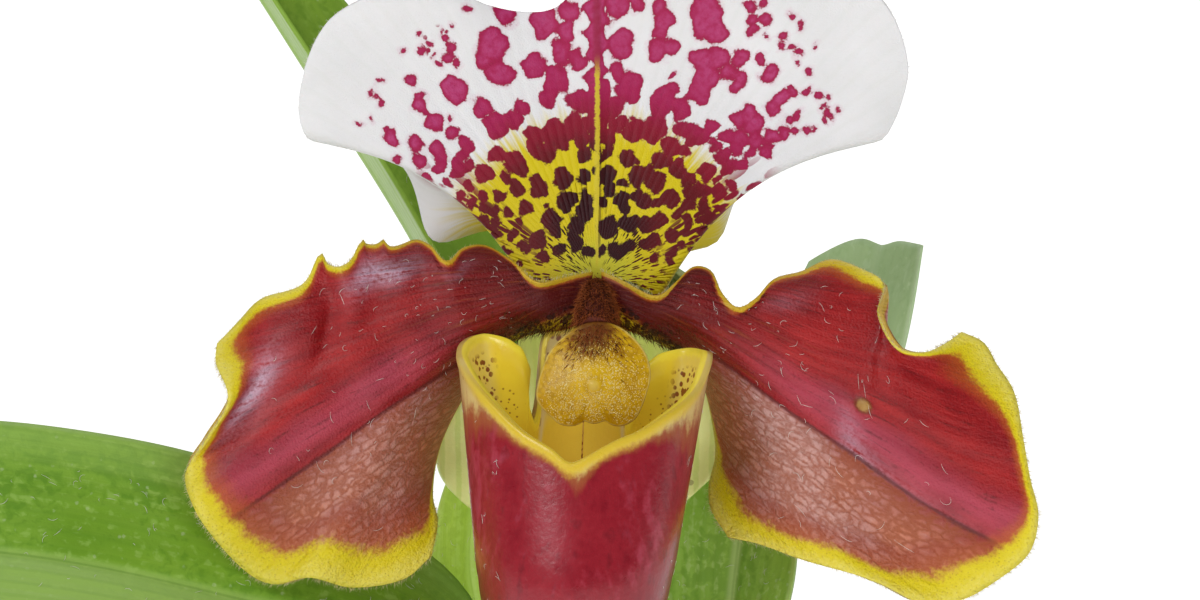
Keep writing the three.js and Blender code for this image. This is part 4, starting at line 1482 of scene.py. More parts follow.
@dataclass(frozen=True)
class Petal:
    """One of the two broad waved petals: its edges in the flower's frame, x right, y back, z up.

    midvein runs from the base to the tip as x and z. The borders are the width of the yellow rim by
    the share along each edge. The sheen patches are painted highlights and the blush patches are
    patches of paler colour, each given as share along, its spread, share across, its spread, and
    strength. teeth are points on the high margin: share along, height and half-width in
    millimetres.
    """

    name: str
    high: Stops
    tip: Stops
    low: Stops
    midvein: Stops
    border_high: Stops
    border_tip: Stops
    border_low: Stops
    painted_highlights: Stops
    blushes: Stops
    outward: bool
    finish: PetalFinish
    seed: int
    teeth: Stops = ()
    wart: tuple[float, float] | None = None
    wart_height: float = 0.8
    bulge: float = 4.0
    ruffle_fade: float = 4.0
    end_fade: float = 4.0
    rows: int = 122
    columns: int = 88
    groove: float = 0.45
    groove_width: float = 0.8
    rib_depth: float = 0.05
    ripple_depth: float = 0.3
    collar_reach: float = 4.2
    collar_end: float = 17.0
    vein_samples: int = 240
    margin_hairs: tuple[tuple[Edge, int], ...] = (
        (Edge.HIGH, 520), (Edge.TIP, 560), (Edge.LOW, 300),
    )
    base_hairs: int = 440
    base_zone: tuple[float, float] = (0.29, 0.55)

    def _venation(self, x: Array, z: Array) -> tuple[Array, Array]:
        """Distances from the midvein, positive above it, and along it, in millimetres.

        Args:
            x: Places across.
            z: Places up.

        Returns:
            The two distances of the nearest point of the midvein.
        """
        curve = Curve([[u, 0.0, w] for u, w in self.midvein])
        share = shares(self.vein_samples)
        line, way = curve.at(share), curve.heading(share)
        dx, dz = x[..., None] - line[:, 0], z[..., None] - line[:, 2]
        nearest = np.argmin(dx**2 + dz**2, axis=-1)
        dx, dz = (np.take_along_axis(d, nearest[..., None], -1)[..., 0] for d in (dx, dz))
        across = dz * way[nearest, 0] - dx * way[nearest, 2]
        ahead = dx * way[nearest, 0] + dz * way[nearest, 2]
        sign = 1.0 if line[-1, 0] > line[0, 0] else -1.0
        return across * sign, share[nearest] * curve.length + ahead

    def _patches(self, patches: Stops, a: Array, b: Array) -> Array:
        """Soft patches, each the product of a bell along and a bell across times its strength.

        Args:
            patches: Share along, its spread, share across, its spread, and strength of each.
            a: Shares of the way from foot to tip.
            b: Shares of the way from low to high.

        Returns:
            Their sum, between 0 and 1.
        """
        total = np.zeros(a.shape)
        for centre, spread, across, wide, strength in patches:
            total = total + strength * bell(a, centre, spread) * bell(b, across, wide)
        return np.clip(total, 0, 1)

    def sheet(self) -> Sheet:
        """The petal's solid.

        Across and along, the place is the stretched surface of the edges. Its depth is that of the
        same edges with their waves kept near the margin, less a bulge (the sine of the share across
        times that of the share along), with a groove (a bell) down the midvein, fine ribs (a sine
        of the angle from it) and a slow ripple. Teeth draw the high margin out by bells.

        Returns:
            The sheet with the fields that its finish reads.
        """
        a, b = shares(self.rows), shares(self.columns)
        edges = {Edge.HIGH: Curve(self.high), Edge.TIP: Curve(self.tip), Edge.LOW: Curve(self.low)}
        edges[Edge.FOOT] = Curve([self.low[0], self.high[0]])
        grid = stretched(edges, a, b, 1.0, self.end_fade)
        aa, bb = np.meshgrid(a, b, indexing="ij")
        swell = np.sin(np.pi * bb) ** 0.8 * np.sin(np.pi * aa**0.9) ** 0.8
        waves = stretched(edges, a, b, self.ruffle_fade, self.ruffle_fade)[..., 1]
        grid[..., 1] = waves - self.bulge * swell
        vein, run = self._venation(grid[..., 0], grid[..., 2])
        fan = vein / (4 + 0.5 * np.maximum(run, 0))
        inside = np.clip(np.minimum(1 - aa, np.minimum(bb, 1 - bb)) * 12, 0, 1)
        inside *= smooth(aa, 0.05, 0.3)
        groove = bell(vein, 0, self.groove_width) * (1 - 0.5 * aa) - 0.5 * bell(vein, 2.6, 2.0)
        grid[..., 1] += self.groove * groove * inside
        grid[..., 1] += self.rib_depth * np.sin(fan * 70) * inside
        grid[..., 1] += self.ripple_depth * ripple(run * 0.16, vein * 0.22, self.seed) * inside
        wart = np.zeros(aa.shape)
        if self.wart is not None:
            wart = bell(np.hypot(run - self.wart[0], (vein - self.wart[1]) * 1.6), 0, 1.2)
            grid[..., 1] -= self.wart_height * wart
        for share, height, half in self.teeth:
            away = abs(aa - share) * edges[Edge.HIGH].length
            point = height * np.exp(-away / half) * smooth(bb, 0.9, 1.0)
            grid[..., 0] += 0.25 * point
            grid[..., 2] += point
        length, width = run_along(grid, 0), run_along(grid, 1)
        to_tip, to_low, to_high = length[-1:] - length, width, width[:, -1:] - width
        margins = ((to_high, self.border_high, aa), (to_low, self.border_low, aa))
        margins += ((to_tip, self.border_tip, bb),)
        border = np.max([1 - away / along(width, share) for away, width, share in margins], axis=0)
        collar = smooth(-to_low, -self.collar_reach, -0.4) * smooth(-length, -self.collar_end, -11)
        fields = {
            "border": np.maximum(border, -2), "vein": vein, "run": run, "fan": fan,
            "collar": collar, "wart": wart, "painted_highlight": self._patches(self.painted_highlights, aa, bb),
            "blush": self._patches(self.blushes, aa, bb),
        }
        return Sheet(FLOWER.place(grid), petal_thickness(aa, bb), fields, flip=self.outward)

    def build(self) -> None:
        """Makes the petal, the short hairs on its margin, the dark ones at its base and lint."""
        sheet = self.sheet()
        dress(sheet.build(self.name + "_skin"), self.finish.build(), "petals", self.name)
        pale = HAIR_PALE.build()
        for edge, count in self.margin_hairs:
            roots, out, front = sheet.margin(edge, count, self.seed + count)
            coat = HairCoat(0.8, 0.035, seed=self.seed + count)
            hairs = coat.build(f"{self.name}_hairs_{edge.value}", roots, out + front * 0.25)
            dress(hairs, pale, "petals")
        draw = np.random.default_rng(self.seed)
        i = 2 + (draw.uniform(0, 1, self.base_hairs) * self.rows * self.base_zone[0]).astype(int)
        j = (draw.beta(1.0, 3.2, self.base_hairs) * self.columns * self.base_zone[1]).astype(int)
        front = sheet.front()[i, j]
        roots = sheet.middle[i, j] + front * 0.45
        lean = front * 0.8 + np.array([0.9 if self.outward else -0.9, 0, -0.9])
        hairs = HairCoat(1.1, 0.045, seed=self.seed).build(f"{self.name}_hairs_base", roots, lean)
        dress(hairs, HAIR_DARK.build(), "petals")
        fibres = Lint((0.5, 0.45), 90, self.seed).build(f"{self.name}_lint", sheet)
        dress(fibres, HAIR_WHITE.build(), "petals")


LEFT_PETAL = Petal(
    name="petal_left",
    high=[
        [-0.7, -0.6, 2.3], [-5.2, -2.5, 1.3], [-8.2, -4, 0.8], [-12.1, -1, 3.7], [-16.1, 1.5, 5.8],
        [-18.9, 0, 5.4], [-21.1, -3.5, 3.6], [-23.5, -1, 5.9], [-25.6, 1, 6.6], [-28.9, -0.5, 5.5],
        [-32.7, 0.5, 5.6], [-35.7, -3, 2.9], [-39, -0.5, 3.1], [-41.6, -3, 0.1], [-47, -2, -1.7],
        [-50.3, 0, -4.8], [-53.3, -2, -8],
    ],
    tip=[
        [-23.4, 2, -37.9], [-27.1, 1, -41], [-34.5, -1, -42.1], [-40.1, -4, -40.5],
        [-45.2, -2, -41.6], [-48.4, -2, -40.4], [-53.7, -5, -34.5], [-56.1, -6, -30.4],
        [-57.4, -4, -25.7], [-54.4, -6, -20.9], [-51.1, -8, -15.5], [-53.2, -4, -10.5],
        [-53.3, -2, -8],
    ],
    low=[
        [-2.2, -1.2, -4.6], [-4.5, -0.9, -5.7], [-6.7, -0.4, -5.9], [-8.8, 1.2, -6.2],
        [-10.7, 2.8, -6.8], [-13.1, 4, -8.1], [-16.7, 5, -11.7], [-20, 6.5, -16.7],
        [-22.9, 7, -23.2], [-23.7, 6, -29.6], [-22.8, 4, -33.3], [-23.4, 2, -37.9],
    ],
    midvein=[
        [-1, -1.7], [-5.2, -2.8], [-9.4, -4.8], [-13.6, -7], [-19.2, -10], [-27.6, -15.7],
        [-35.6, -21.3], [-43.7, -27], [-52, -32.8], [-56, -35.5],
    ],
    border_high=[[0, 0.5], [0.3, 0.6], [0.5, 0.8], [0.7, 1.2], [0.85, 2], [1, 3]],
    border_tip=[
        [0, 7.2], [0.2, 5.8], [0.3, 6.2], [0.45, 4.5], [0.7, 3.4], [0.8, 2.2], [0.9, 3.8], [1, 3.4],
    ],
    border_low=[[0, 0.2], [0.5, 0.2], [0.8, 0.6], [0.92, 2.8], [1, 5.4]],
    # painted highlight patches
    painted_highlights=[
        [0.55, 0.07, 0.86, 0.06, 1.0], [0.62, 0.04, 0.9, 0.04, 0.5], [0.9, 0.05, 0.76, 0.08, 1.0],
        [0.34, 0.05, 0.84, 0.06, 0.35],
    ],
    blushes=[[0.82, 0.18, 0.28, 0.22, 0.6], [0.58, 0.12, 0.24, 0.14, 0.4]],
    outward=False,
    finish=PetalFinish("petal_red_left"),
    seed=11,
    teeth=[[0.55, 1.2, 0.6], [0.6, 1.7, 0.8], [0.725, 2.4, 0.8]],
)

RIGHT_PETAL = Petal(
    name="petal_right",
    high=[
        [0.7, -0.6, 2.3], [4.2, -2, 0.7], [8.1, -4, -1.1], [10.8, -2, 0.3], [13.9, -0.2, 2.8],
        [15.8, -0.3, 2.3], [17.4, -2.5, -0.9], [19.6, -4, -2.9], [22.4, -2.5, -1.6], [25.2, 0, 1.1],
        [28.9, 1, 2.1], [33.1, 1.5, 3.8], [37.1, 1, 2.6], [40.4, -1, 0.6], [39.4, -5, -3.6],
        [41.8, -6, -8.2], [45.6, -5, -9], [48.5, -2.5, -8], [51.2, -0.5, -6.3],
    ],
    tip=[
        [18.5, 1, -35.2], [23.3, 0, -36.2], [28.8, -2, -38], [34.7, -4, -39.6], [39.6, -4, -41.4],
        [45.9, -3, -44.3], [51, -2, -43.8], [56.4, -3, -40.6], [60.4, -4, -36.9], [61.5, -5, -31.7],
        [60.4, -5, -26.8], [59.4, -5, -21.2], [58.3, -3, -14.6], [56.1, -1, -10.8], [54.4, 0, -7.8],
        [51.2, -0.5, -6.3],
    ],
    low=[
        [2, -1.2, -4.4], [3.6, -1, -5.5], [5.5, -0.5, -6.1], [7.5, 1, -6.9], [9.6, 2.6, -8],
        [11.5, 4, -9], [13.3, 5, -10.2], [15.4, 6, -13.8], [16.7, 7, -18.9], [17.2, 7, -23.9],
        [16.1, 5, -28.5], [16.3, 3, -31.5], [18.5, 1, -35.2],
    ],
    midvein=[
        [2.1, -2], [7.4, -3.9], [13, -6.6], [18.9, -10.9], [27.6, -17.7], [36.4, -23.5],
        [45.6, -30], [56.5, -36], [60, -38],
    ],
    border_high=[
        [0, 0.5], [0.3, 0.6], [0.52, 1.1], [0.62, 2.2], [0.7, 1.6], [0.8, 0.9], [0.9, 1.2],
        [1, 4.6],
    ],
    border_tip=[
        [0, 7], [0.2, 6.6], [0.35, 7], [0.5, 5.2], [0.58, 3.2], [0.64, 1.5], [0.75, 1.3], [0.8, 2],
        [0.86, 4], [0.93, 5], [1, 4.8],
    ],
    border_low=[[0, 0.2], [0.5, 0.3], [0.72, 2], [0.84, 5], [1, 6.6]],
    # painted highlight patches
    painted_highlights=[
        [0.85, 0.08, 0.5, 0.06, 0.5], [0.93, 0.05, 0.49, 0.05, 0.4], [0.76, 0.06, 0.51, 0.04, 0.3],
        [0.5, 0.05, 0.8, 0.06, 0.2],
    ],
    blushes=[[0.76, 0.2, 0.28, 0.2, 1.0], [0.5, 0.14, 0.28, 0.12, 0.5]],
    outward=True,
    finish=PetalFinish("petal_red_right"),
    seed=23,
    wart=(37.6, 6.4),
)


# ---------- the dorsal sepal ----------


@dataclass(frozen=True)
class DorsalSepal:
    """The upright sepal, its lower sides rolled back behind it and opening out in side lobes.

    spots lists the blotches: places across and up from the foot, and radii. reach is the margin:
    degrees from the midrib and distance from the foot.
    """

    spread: float = 104.0
    claw: float = 4.5
    foot: tuple[float, float] = (2.6, 1.0)
    reach: Stops = (
        (-104, 9), (-98, 13.5), (-92, 19), (-87, 23.5), (-82, 27), (-77, 30), (-72, 34),
        (-68, 39.5), (-65, 44.5), (-62, 48), (-57, 50.5), (-47, 53), (-40, 52), (-30, 49),
        (-22, 42.5), (-14, 39.6), (-7, 40), (2, 46), (12, 48), (26, 51), (38, 55), (46, 56.5),
        (55, 54), (60, 50), (63, 46.5), (66, 42), (69, 38), (73, 33.5), (78, 30), (83, 27),
        (88, 23.5), (92, 19), (98, 13.5), (104, 9),
    )
    height: float = 50.0
    bow: float = 4.5
    hood_start: float = 25.0
    hood_rate: float = 0.012
    cup_rate: float = 0.004
    dent: tuple[float, float, float] = (-14.0, 11.0, 2.0)
    margin_turn: float = 1.6
    fold: tuple[float, float, float] = (9.5, 23.0, 13.0)
    fold_turn: float = 1.1
    fold_tuck: float = 0.22
    flare_start: float = 4.0
    left_lobe: tuple[float, float, float] = (0.15, 26.0, 5.0)
    right_lobe: tuple[float, float, float] = (0.11, 20.0, 5.0)
    rows: int = 164
    columns: int = 274
    vein_depth: float = 0.05
    rib_height: float = 0.5
    margin_hairs: int = 900
    sharp: float = 9.0
    spots: Stops = (
        (-7.5, 39.7, 1.6), (-13.2, 38.3, 1.6), (-7.5, 36.9, 2.1), (-3.7, 38.6, 1.5),
        (-4.3, 35.8, 1.4), (-15, 33.8, 2.2), (-16.3, 31.6, 1.2), (-13.9, 29.7, 1.9),
        (-8.9, 30.8, 1.8), (-5, 32.8, 1.6), (-5.7, 28.8, 1.9), (-7.2, 26.2, 1.4), (-2.6, 31.5, 1.4),
        (-3, 25.8, 1.5), (-20.3, 27.4, 1.9), (-16.5, 24.9, 1.4), (-14.3, 22.2, 1.8), (-12, 23, 1.3),
        (-10.5, 24.8, 1.2), (-18.6, 19.6, 1.3), (-25.3, 25, 1.1), (-25.5, 26.7, 0.7),
        (-23.4, 22.9, 1.3), (-21, 23.4, 0.5), (-26.6, 28.8, 0.75), (-29.4, 20.5, 1.1),
        (-30.4, 21.8, 0.5), (-26, 19.7, 1.1), (-22.8, 18.8, 1.2), (-20.7, 21.2, 1),
        (-25.5, 17.1, 1), (-28.5, 17.4, 0.6), (-19.6, 16.6, 1.1), (-22.5, 16.2, 0.9),
        (-27.7, 32.8, 0.45), (-25.3, 33.1, 0.5), (-23.9, 34, 0.45), (-25.1, 35.1, 0.4),
        (-22.1, 35.6, 0.4), (-21.5, 34.7, 0.5), (-20.9, 33.4, 0.7), (-21.2, 32.2, 0.7),
        (-23.2, 32.2, 0.4), (-22.5, 31, 0.4), (-20, 31.1, 0.5), (-20.7, 36.8, 0.35),
        (-18.6, 39, 0.5), (-31.2, 28.7, 0.4), (-32.2, 27, 0.4), (-31.5, 26.4, 0.45),
        (-31.1, 25.3, 0.6), (-34.2, 22.6, 0.35), (-32.4, 23, 0.3), (2.8, 39.4, 1.7),
        (5.7, 39.9, 1.2), (8.9, 39.2, 1.1), (9.6, 37.2, 1.5), (9, 35.6, 1.1), (15.5, 39.5, 2),
        (15.6, 37.2, 2.3), (16.9, 35.6, 1.7), (3.2, 34, 2), (8.7, 32.9, 1.6), (10.4, 33.6, 1.2),
        (14.9, 31.7, 1.7), (17.4, 32, 1.5), (15.6, 29.4, 1.8), (14.6, 27.2, 1.8), (20.5, 32, 1.1),
        (20.3, 29.3, 1.2), (20, 27.9, 1), (18.7, 29.9, 1), (23.3, 31.9, 0.8), (24.6, 29.7, 1.3),
        (4.6, 27.9, 2), (2.8, 30, 1.1), (9.4, 25.7, 2), (11.9, 24.8, 1.5), (10.7, 27.6, 0.8),
        (2.6, 25, 1.3), (26.3, 26.3, 1.2), (27.9, 27, 0.7), (25.3, 24.8, 1.1), (21.7, 24.1, 1.3),
        (22.5, 22.5, 1.4), (20.2, 23, 1), (24.9, 20.8, 1.2), (22.6, 20, 1.2), (20.5, 20.5, 1.3),
        (18.7, 20.8, 1), (28.6, 23.8, 0.7), (27.3, 23.1, 0.6), (26.8, 21.3, 0.8), (28.3, 21.5, 0.6),
        (24.3, 18.6, 0.9), (18, 17.8, 1.1), (20.2, 16.6, 1.1), (14.2, 20.8, 1.7), (12, 21.7, 1.2),
        (16.4, 22, 1.1), (8.2, 21.9, 1.8), (5.6, 21.5, 1.7), (2.9, 22.4, 1.4), (-3.2, 22, 1.8),
        (-6.1, 21.2, 1.8), (-8.8, 20.7, 1.4), (21.7, 39, 0.8), (23.5, 39.4, 0.6), (22.1, 37.5, 0.9),
        (23.8, 37.2, 0.8), (22.1, 35.8, 0.8), (24.2, 35.2, 0.5), (27.8, 37.8, 0.5),
        (29, 36.3, 0.45), (26.7, 34.7, 0.6), (27.8, 33.5, 0.45), (28.7, 32.4, 0.5),
        (28.6, 31, 0.35), (30.3, 29.9, 0.6), (31.3, 33.6, 0.35), (26, 33.6, 0.45),
        (29.9, 27.2, 0.6), (31.9, 26.6, 0.45), (33, 26.5, 0.45), (32.2, 25.1, 0.5),
        (34.2, 24.7, 0.4), (33, 24, 0.4), (33.8, 23.4, 0.3), (32.7, 23, 0.4), (31, 21.9, 0.4),
        (29.9, 21.7, 0.5), (11, 29.5, 0.5), (-1.9, 18, 1.15), (-1.9, 20.2, 1.1), (-7.3, 18.1, 1.5),
        (-9.2, 19.6, 1.2), (-4.7, 20, 1.3), (-11.7, 16.9, 1.6), (-14.3, 18.1, 1.2),
        (-16.1, 15.4, 1.3), (-18.4, 16.4, 0.9), (-8.4, 13.5, 1.5), (-4.8, 14.6, 1.45),
        (-1.9, 14.8, 1.05), (-4.4, 11.2, 1.4), (-1.5, 11.7, 1.2), (-1.6, 9.6, 1.2),
        (-11.5, 13.1, 1.15), (-13.8, 12, 0.95), (-10.3, 10.4, 1.1), (-6.7, 8.6, 1.4), (-6, 7.2, 1),
        (-3, 7.9, 1.15), (-8.4, 5.8, 1.3), (-3.1, 5.3, 1.2), (-5.3, 4.3, 0.9), (-1.1, 4, 0.85),
        (-7.8, 3.3, 0.9), (-7.4, 10.7, 0.35), (-14.3, 8.5, 0.8), (-12, 6.6, 0.8), (-10.9, 8.5, 0.7),
        (-16.6, 12.2, 0.9), (-12.6, 9.6, 0.7), (-10.4, 4.6, 0.8), (-18.3, 13.6, 0.8),
        (-15.8, 10.2, 0.8), (1.5, 20.5, 1.1), (1.5, 18.4, 1.1), (4.6, 17.4, 1.3), (1.5, 14.9, 1.2),
        (1.5, 13.2, 1.2), (3.6, 13.9, 0.6), (5.9, 14.8, 1.3), (7.3, 15.6, 1), (8.4, 14, 1.3),
        (9.2, 17.1, 1.2), (13, 14.3, 1.2), (11.5, 16, 1.2), (10.5, 19.3, 1.3), (12.3, 18.6, 1),
        (3.6, 11.6, 1.15), (3.7, 10.5, 1), (0.9, 11, 0.75), (5.5, 12.3, 0.85), (6.8, 11.2, 0.95),
        (10.3, 11.7, 1.3), (8.6, 11.1, 0.9), (1.6, 7.5, 1.4), (4.6, 8.1, 1.3), (6.9, 7.9, 1.05),
        (8.8, 8.5, 1.1), (7.9, 5.6, 1.1), (6.9, 5.2, 0.8), (2.6, 4.1, 1.05), (4.7, 4.8, 1),
        (0.6, 4.3, 0.7), (8.3, 3.2, 0.85), (13.5, 12.4, 1), (12.8, 10.6, 1.1), (15.1, 12.9, 1.2),
        (11.6, 9.4, 0.8), (15.6, 15.6, 1.1), (10.9, 6.3, 0.9), (12.9, 8.2, 0.8), (10.6, 3.8, 0.8),
        (15.3, 10.6, 0.9), (-22.4, 18, 0.9), (-20.1, 15.4, 0.8), (-21.4, 14.2, 0.6),
        (-19.5, 12.2, 0.75), (-17.8, 10.9, 0.7), (-16.3, 8.4, 0.8), (-14.4, 6.4, 0.8),
        (-14.6, 10.2, 0.7), (-13, 4.3, 0.7), (-10.9, 2.6, 0.6), (-16.4, 6, 0.7), (-17.3, 7.3, 0.6),
        (-18.2, 8.7, 0.8), (-22.2, 10.8, 0.8), (-24.5, 14.8, 0.8), (-19.3, 17.9, 0.7),
        (-12.9, 14.7, 0.8), (-10.3, 15.7, 0.7), (19.2, 13.8, 0.8), (17.2, 12.7, 0.9),
        (15.9, 8.7, 0.9), (18.5, 16, 1), (20.9, 16.7, 0.9), (19.8, 19, 1), (14.7, 9, 0.8),
        (12.6, 6.8, 0.8), (15.1, 6.8, 0.8), (11.8, 4.7, 0.7), (13.8, 4.6, 0.7), (10.5, 2.6, 0.6),
        (21.9, 18.3, 0.8), (17.4, 10.2, 0.8), (20.6, 11.6, 0.7), (22.7, 13.4, 0.7), (13.4, 20, 0.7),
        (16.8, 19.6, 0.8), (17.3, 14.4, 0.6),
    )
    rib_band: Stops = ((12, -0.4), (19, 0.6), (23, 2), (27, 1.9), (31, 1.1), (36, 1.5), (43, 1.2))

    def _blotches(self, x: Array, z: Array) -> Array:
        """How far a flat place lies inside a blotch, in millimetres, negative outside.

        It is the greatest of radius less distance over all blotches, each a little longer along its
        vein than across it, rounded off where two meet, and of the band along the midrib. The place
        is first moved by a quick ripple, which makes the outlines uneven.

        Args:
            x: Places across.
            z: Places up from the foot.

        Returns:
            The depth.
        """
        across, up, size = np.array(self.spots).T
        turn = np.arctan2(across, up)
        shift_x, shift_z = (ripple(x * 2.0, z * 2.0, seed) for seed in (21, 22))
        x, z = x + 0.34 * shift_x, z + 0.36 * shift_z
        long = np.random.default_rng(5).uniform(0.95, 1.2, len(size))
        dx, dz = x[..., None] - across, z[..., None] - up
        out = dx * np.sin(turn) + dz * np.cos(turn)
        side = dx * np.cos(turn) - dz * np.sin(turn)
        depth = size * 1.03 + 0.04 - np.hypot(out / long, side * long**0.5)
        depth = np.log(np.exp(np.clip(depth, -6, 6) * self.sharp).sum(axis=-1)) / self.sharp
        band = along(self.rib_band, np.hypot(x, z)) - abs(x) + 0.5 * np.sin(z * 1.9) * np.sign(x)
        return np.maximum(depth, band)

    def sheet(self) -> Sheet:
        """The sepal's solid.

        Laid flat, it fans out from the foot: the share along to the power 0.9 times the reach of
        its margin. It is then bowed back by a sine of the height, hooded forwards by a square, and
        cupped by a square of the width. What lies below the fold line, a falling exponential of the
        width, is turned back behind it, with a lobe at each side that flares out again.

        Returns:
            The sheet with the fields that its finish reads.
        """
        a, b = np.meshgrid(shares(self.rows) ** 0.85, shares(self.columns), indexing="ij")
        t = (2 * b - 1) * (1 - b * (1 - b))
        degrees = t * self.spread
        turn = np.radians(degrees)
        side = np.where(t < 0, -1.0, 1.0)
        reach = along(self.reach, degrees)
        out = a**0.9
        flat_x = (1 - out) * self.claw * t + out * reach * np.sin(turn)
        flat_z = out * reach * np.cos(turn)
        x, z = abs(flat_x), flat_z.copy()
        height = np.clip(z / self.height, 0, 1)
        y = self.foot[0] + self.bow * np.sin(np.pi * height)
        y -= self.hood_rate * np.maximum(0, z - self.hood_start) ** 2 + 0.003 * x * x * height
        y += self.cup_rate * x * x * np.clip(1 - z / 30, 0, 1)
        y += self.margin_turn * a**8 + self.dent[2] * a**5 * bell(degrees, *self.dent[:2])
        inside = np.clip((1 - a) * 10, 0, 1) * smooth(a, 0.08, 0.3)
        y += self.vein_depth * np.sin(degrees * 2.1) * inside
        y -= self.rib_height * bell(flat_x, 0, 0.7) * inside
        y += 0.35 * ripple(flat_x * 0.22, flat_z * 0.22, 3) * inside
        start, rise, length = self.fold
        lift = np.exp(-(x - start) / length)
        slope = np.arctan((rise / length) * lift)
        beyond = np.maximum((rise * (1 - lift) - z) * np.cos(slope), 0)
        left, right = bell(x, *self.left_lobe[1:]), bell(x, *self.right_lobe[1:])
        flare = np.where(side < 0, self.left_lobe[0] * left, self.right_lobe[0] * right)
        turned = self.fold_turn * (1 - np.exp(-beyond / self.fold_turn)) - self.fold_tuck * beyond
        kept = turned + flare * np.maximum(0, beyond - self.flare_start) ** 2
        x = x + np.where(beyond > 0, (kept - beyond) * np.sin(slope), 0)
        z = z - np.where(beyond > 0, (kept - beyond) * np.cos(slope), 0)
        y = y + beyond**2 / (beyond + 2.5)
        grid = np.stack([side * x, y, self.foot[1] + z], axis=-1)
        distance = np.hypot(flat_x, flat_z)
        fields = {
            "reach": distance, "turn": np.degrees(np.arctan2(flat_x, flat_z)),
            "flat_x": flat_x, "flat_z": flat_z, "blotch": self._blotches(flat_x, flat_z),
        }
        return Sheet(FLOWER.place(grid), petal_thickness(a, b), fields)

    def build(self) -> None:
        """Makes the sepal and the fine hairs on its margin."""
        sheet = self.sheet()
        skin = sheet.build("dorsal_sepal_skin")
        dress(skin, SepalFinish().build(), "dorsal_sepal", "dorsal_sepal")
        roots, out, front = sheet.margin(Edge.TIP, self.margin_hairs, 41)
        hairs = HairCoat(0.5, 0.03, seed=42).build("dorsal_sepal_hairs", roots, out - front * 0.2)
        dress(hairs, HAIR_WHITE.build(), "dorsal_sepal")


# ---------- the synsepal ----------


@dataclass(frozen=True)
class Synsepal:
    """The two lower sepals, grown into one behind the pouch."""

    foot: tuple[float, float, float] = (0.0, 3.8, -7.4)
    length: float = 34.0
    shoulder: float = 4.0
    widths: Stops = (
        (0, 7.5), (0.2, 13), (0.4, 19), (0.56, 20.7), (0.71, 18), (0.81, 13), (0.91, 7.5), (1, 2),
    )
    rows: int = 70
    columns: int = 60

    def build(self) -> None:
        """Makes the synsepal.

        Its half-width follows the stops; its depth is a bow (a quarter sine, then a square), cupped
        by the square of the width, with waves towards its sides and low ridges along its veins.
        """
        a, b = np.meshgrid(shares(self.rows), shares(self.columns), indexing="ij")
        t = 2 * b - 1
        x = self.foot[0] + t * along(self.widths, a) - 4.5 * a
        bowed = 10 * np.sin((np.pi / 2) * np.minimum(1, 1.6 * a)) - 3 * a * a
        cupped = -0.006 * x * x + 1.2 * np.sin(5 * np.pi * a) * t * t
        raised = (self.shoulder + (2 - self.shoulder) * a) * t * t
        veins = 0.1 * np.sin(2 * np.pi * x / 1.5) * np.clip((1 - abs(t)) * 6, 0, 1)
        y = self.foot[1] + bowed + cupped + 1.2 * t * t + veins
        grid = FLOWER.place(np.stack([x, y, self.foot[2] - self.length * a + raised], axis=-1))
        fields = {"across": x, "run": run_along(grid, 0)}
        sheet = Sheet(grid, np.full(a.shape, 1.0), fields, flip=True)
        # glow: a painted glow
        finish = StripedFinish(
            "synsepal_striped", pitch=2.3, contrast=0.5, lime=0.85, spots=0.8, glow=0.24
        )
        dress(sheet.build("synsepal_skin"), finish.build(), "synsepal", "synsepal")


# ---------- the pouch ----------


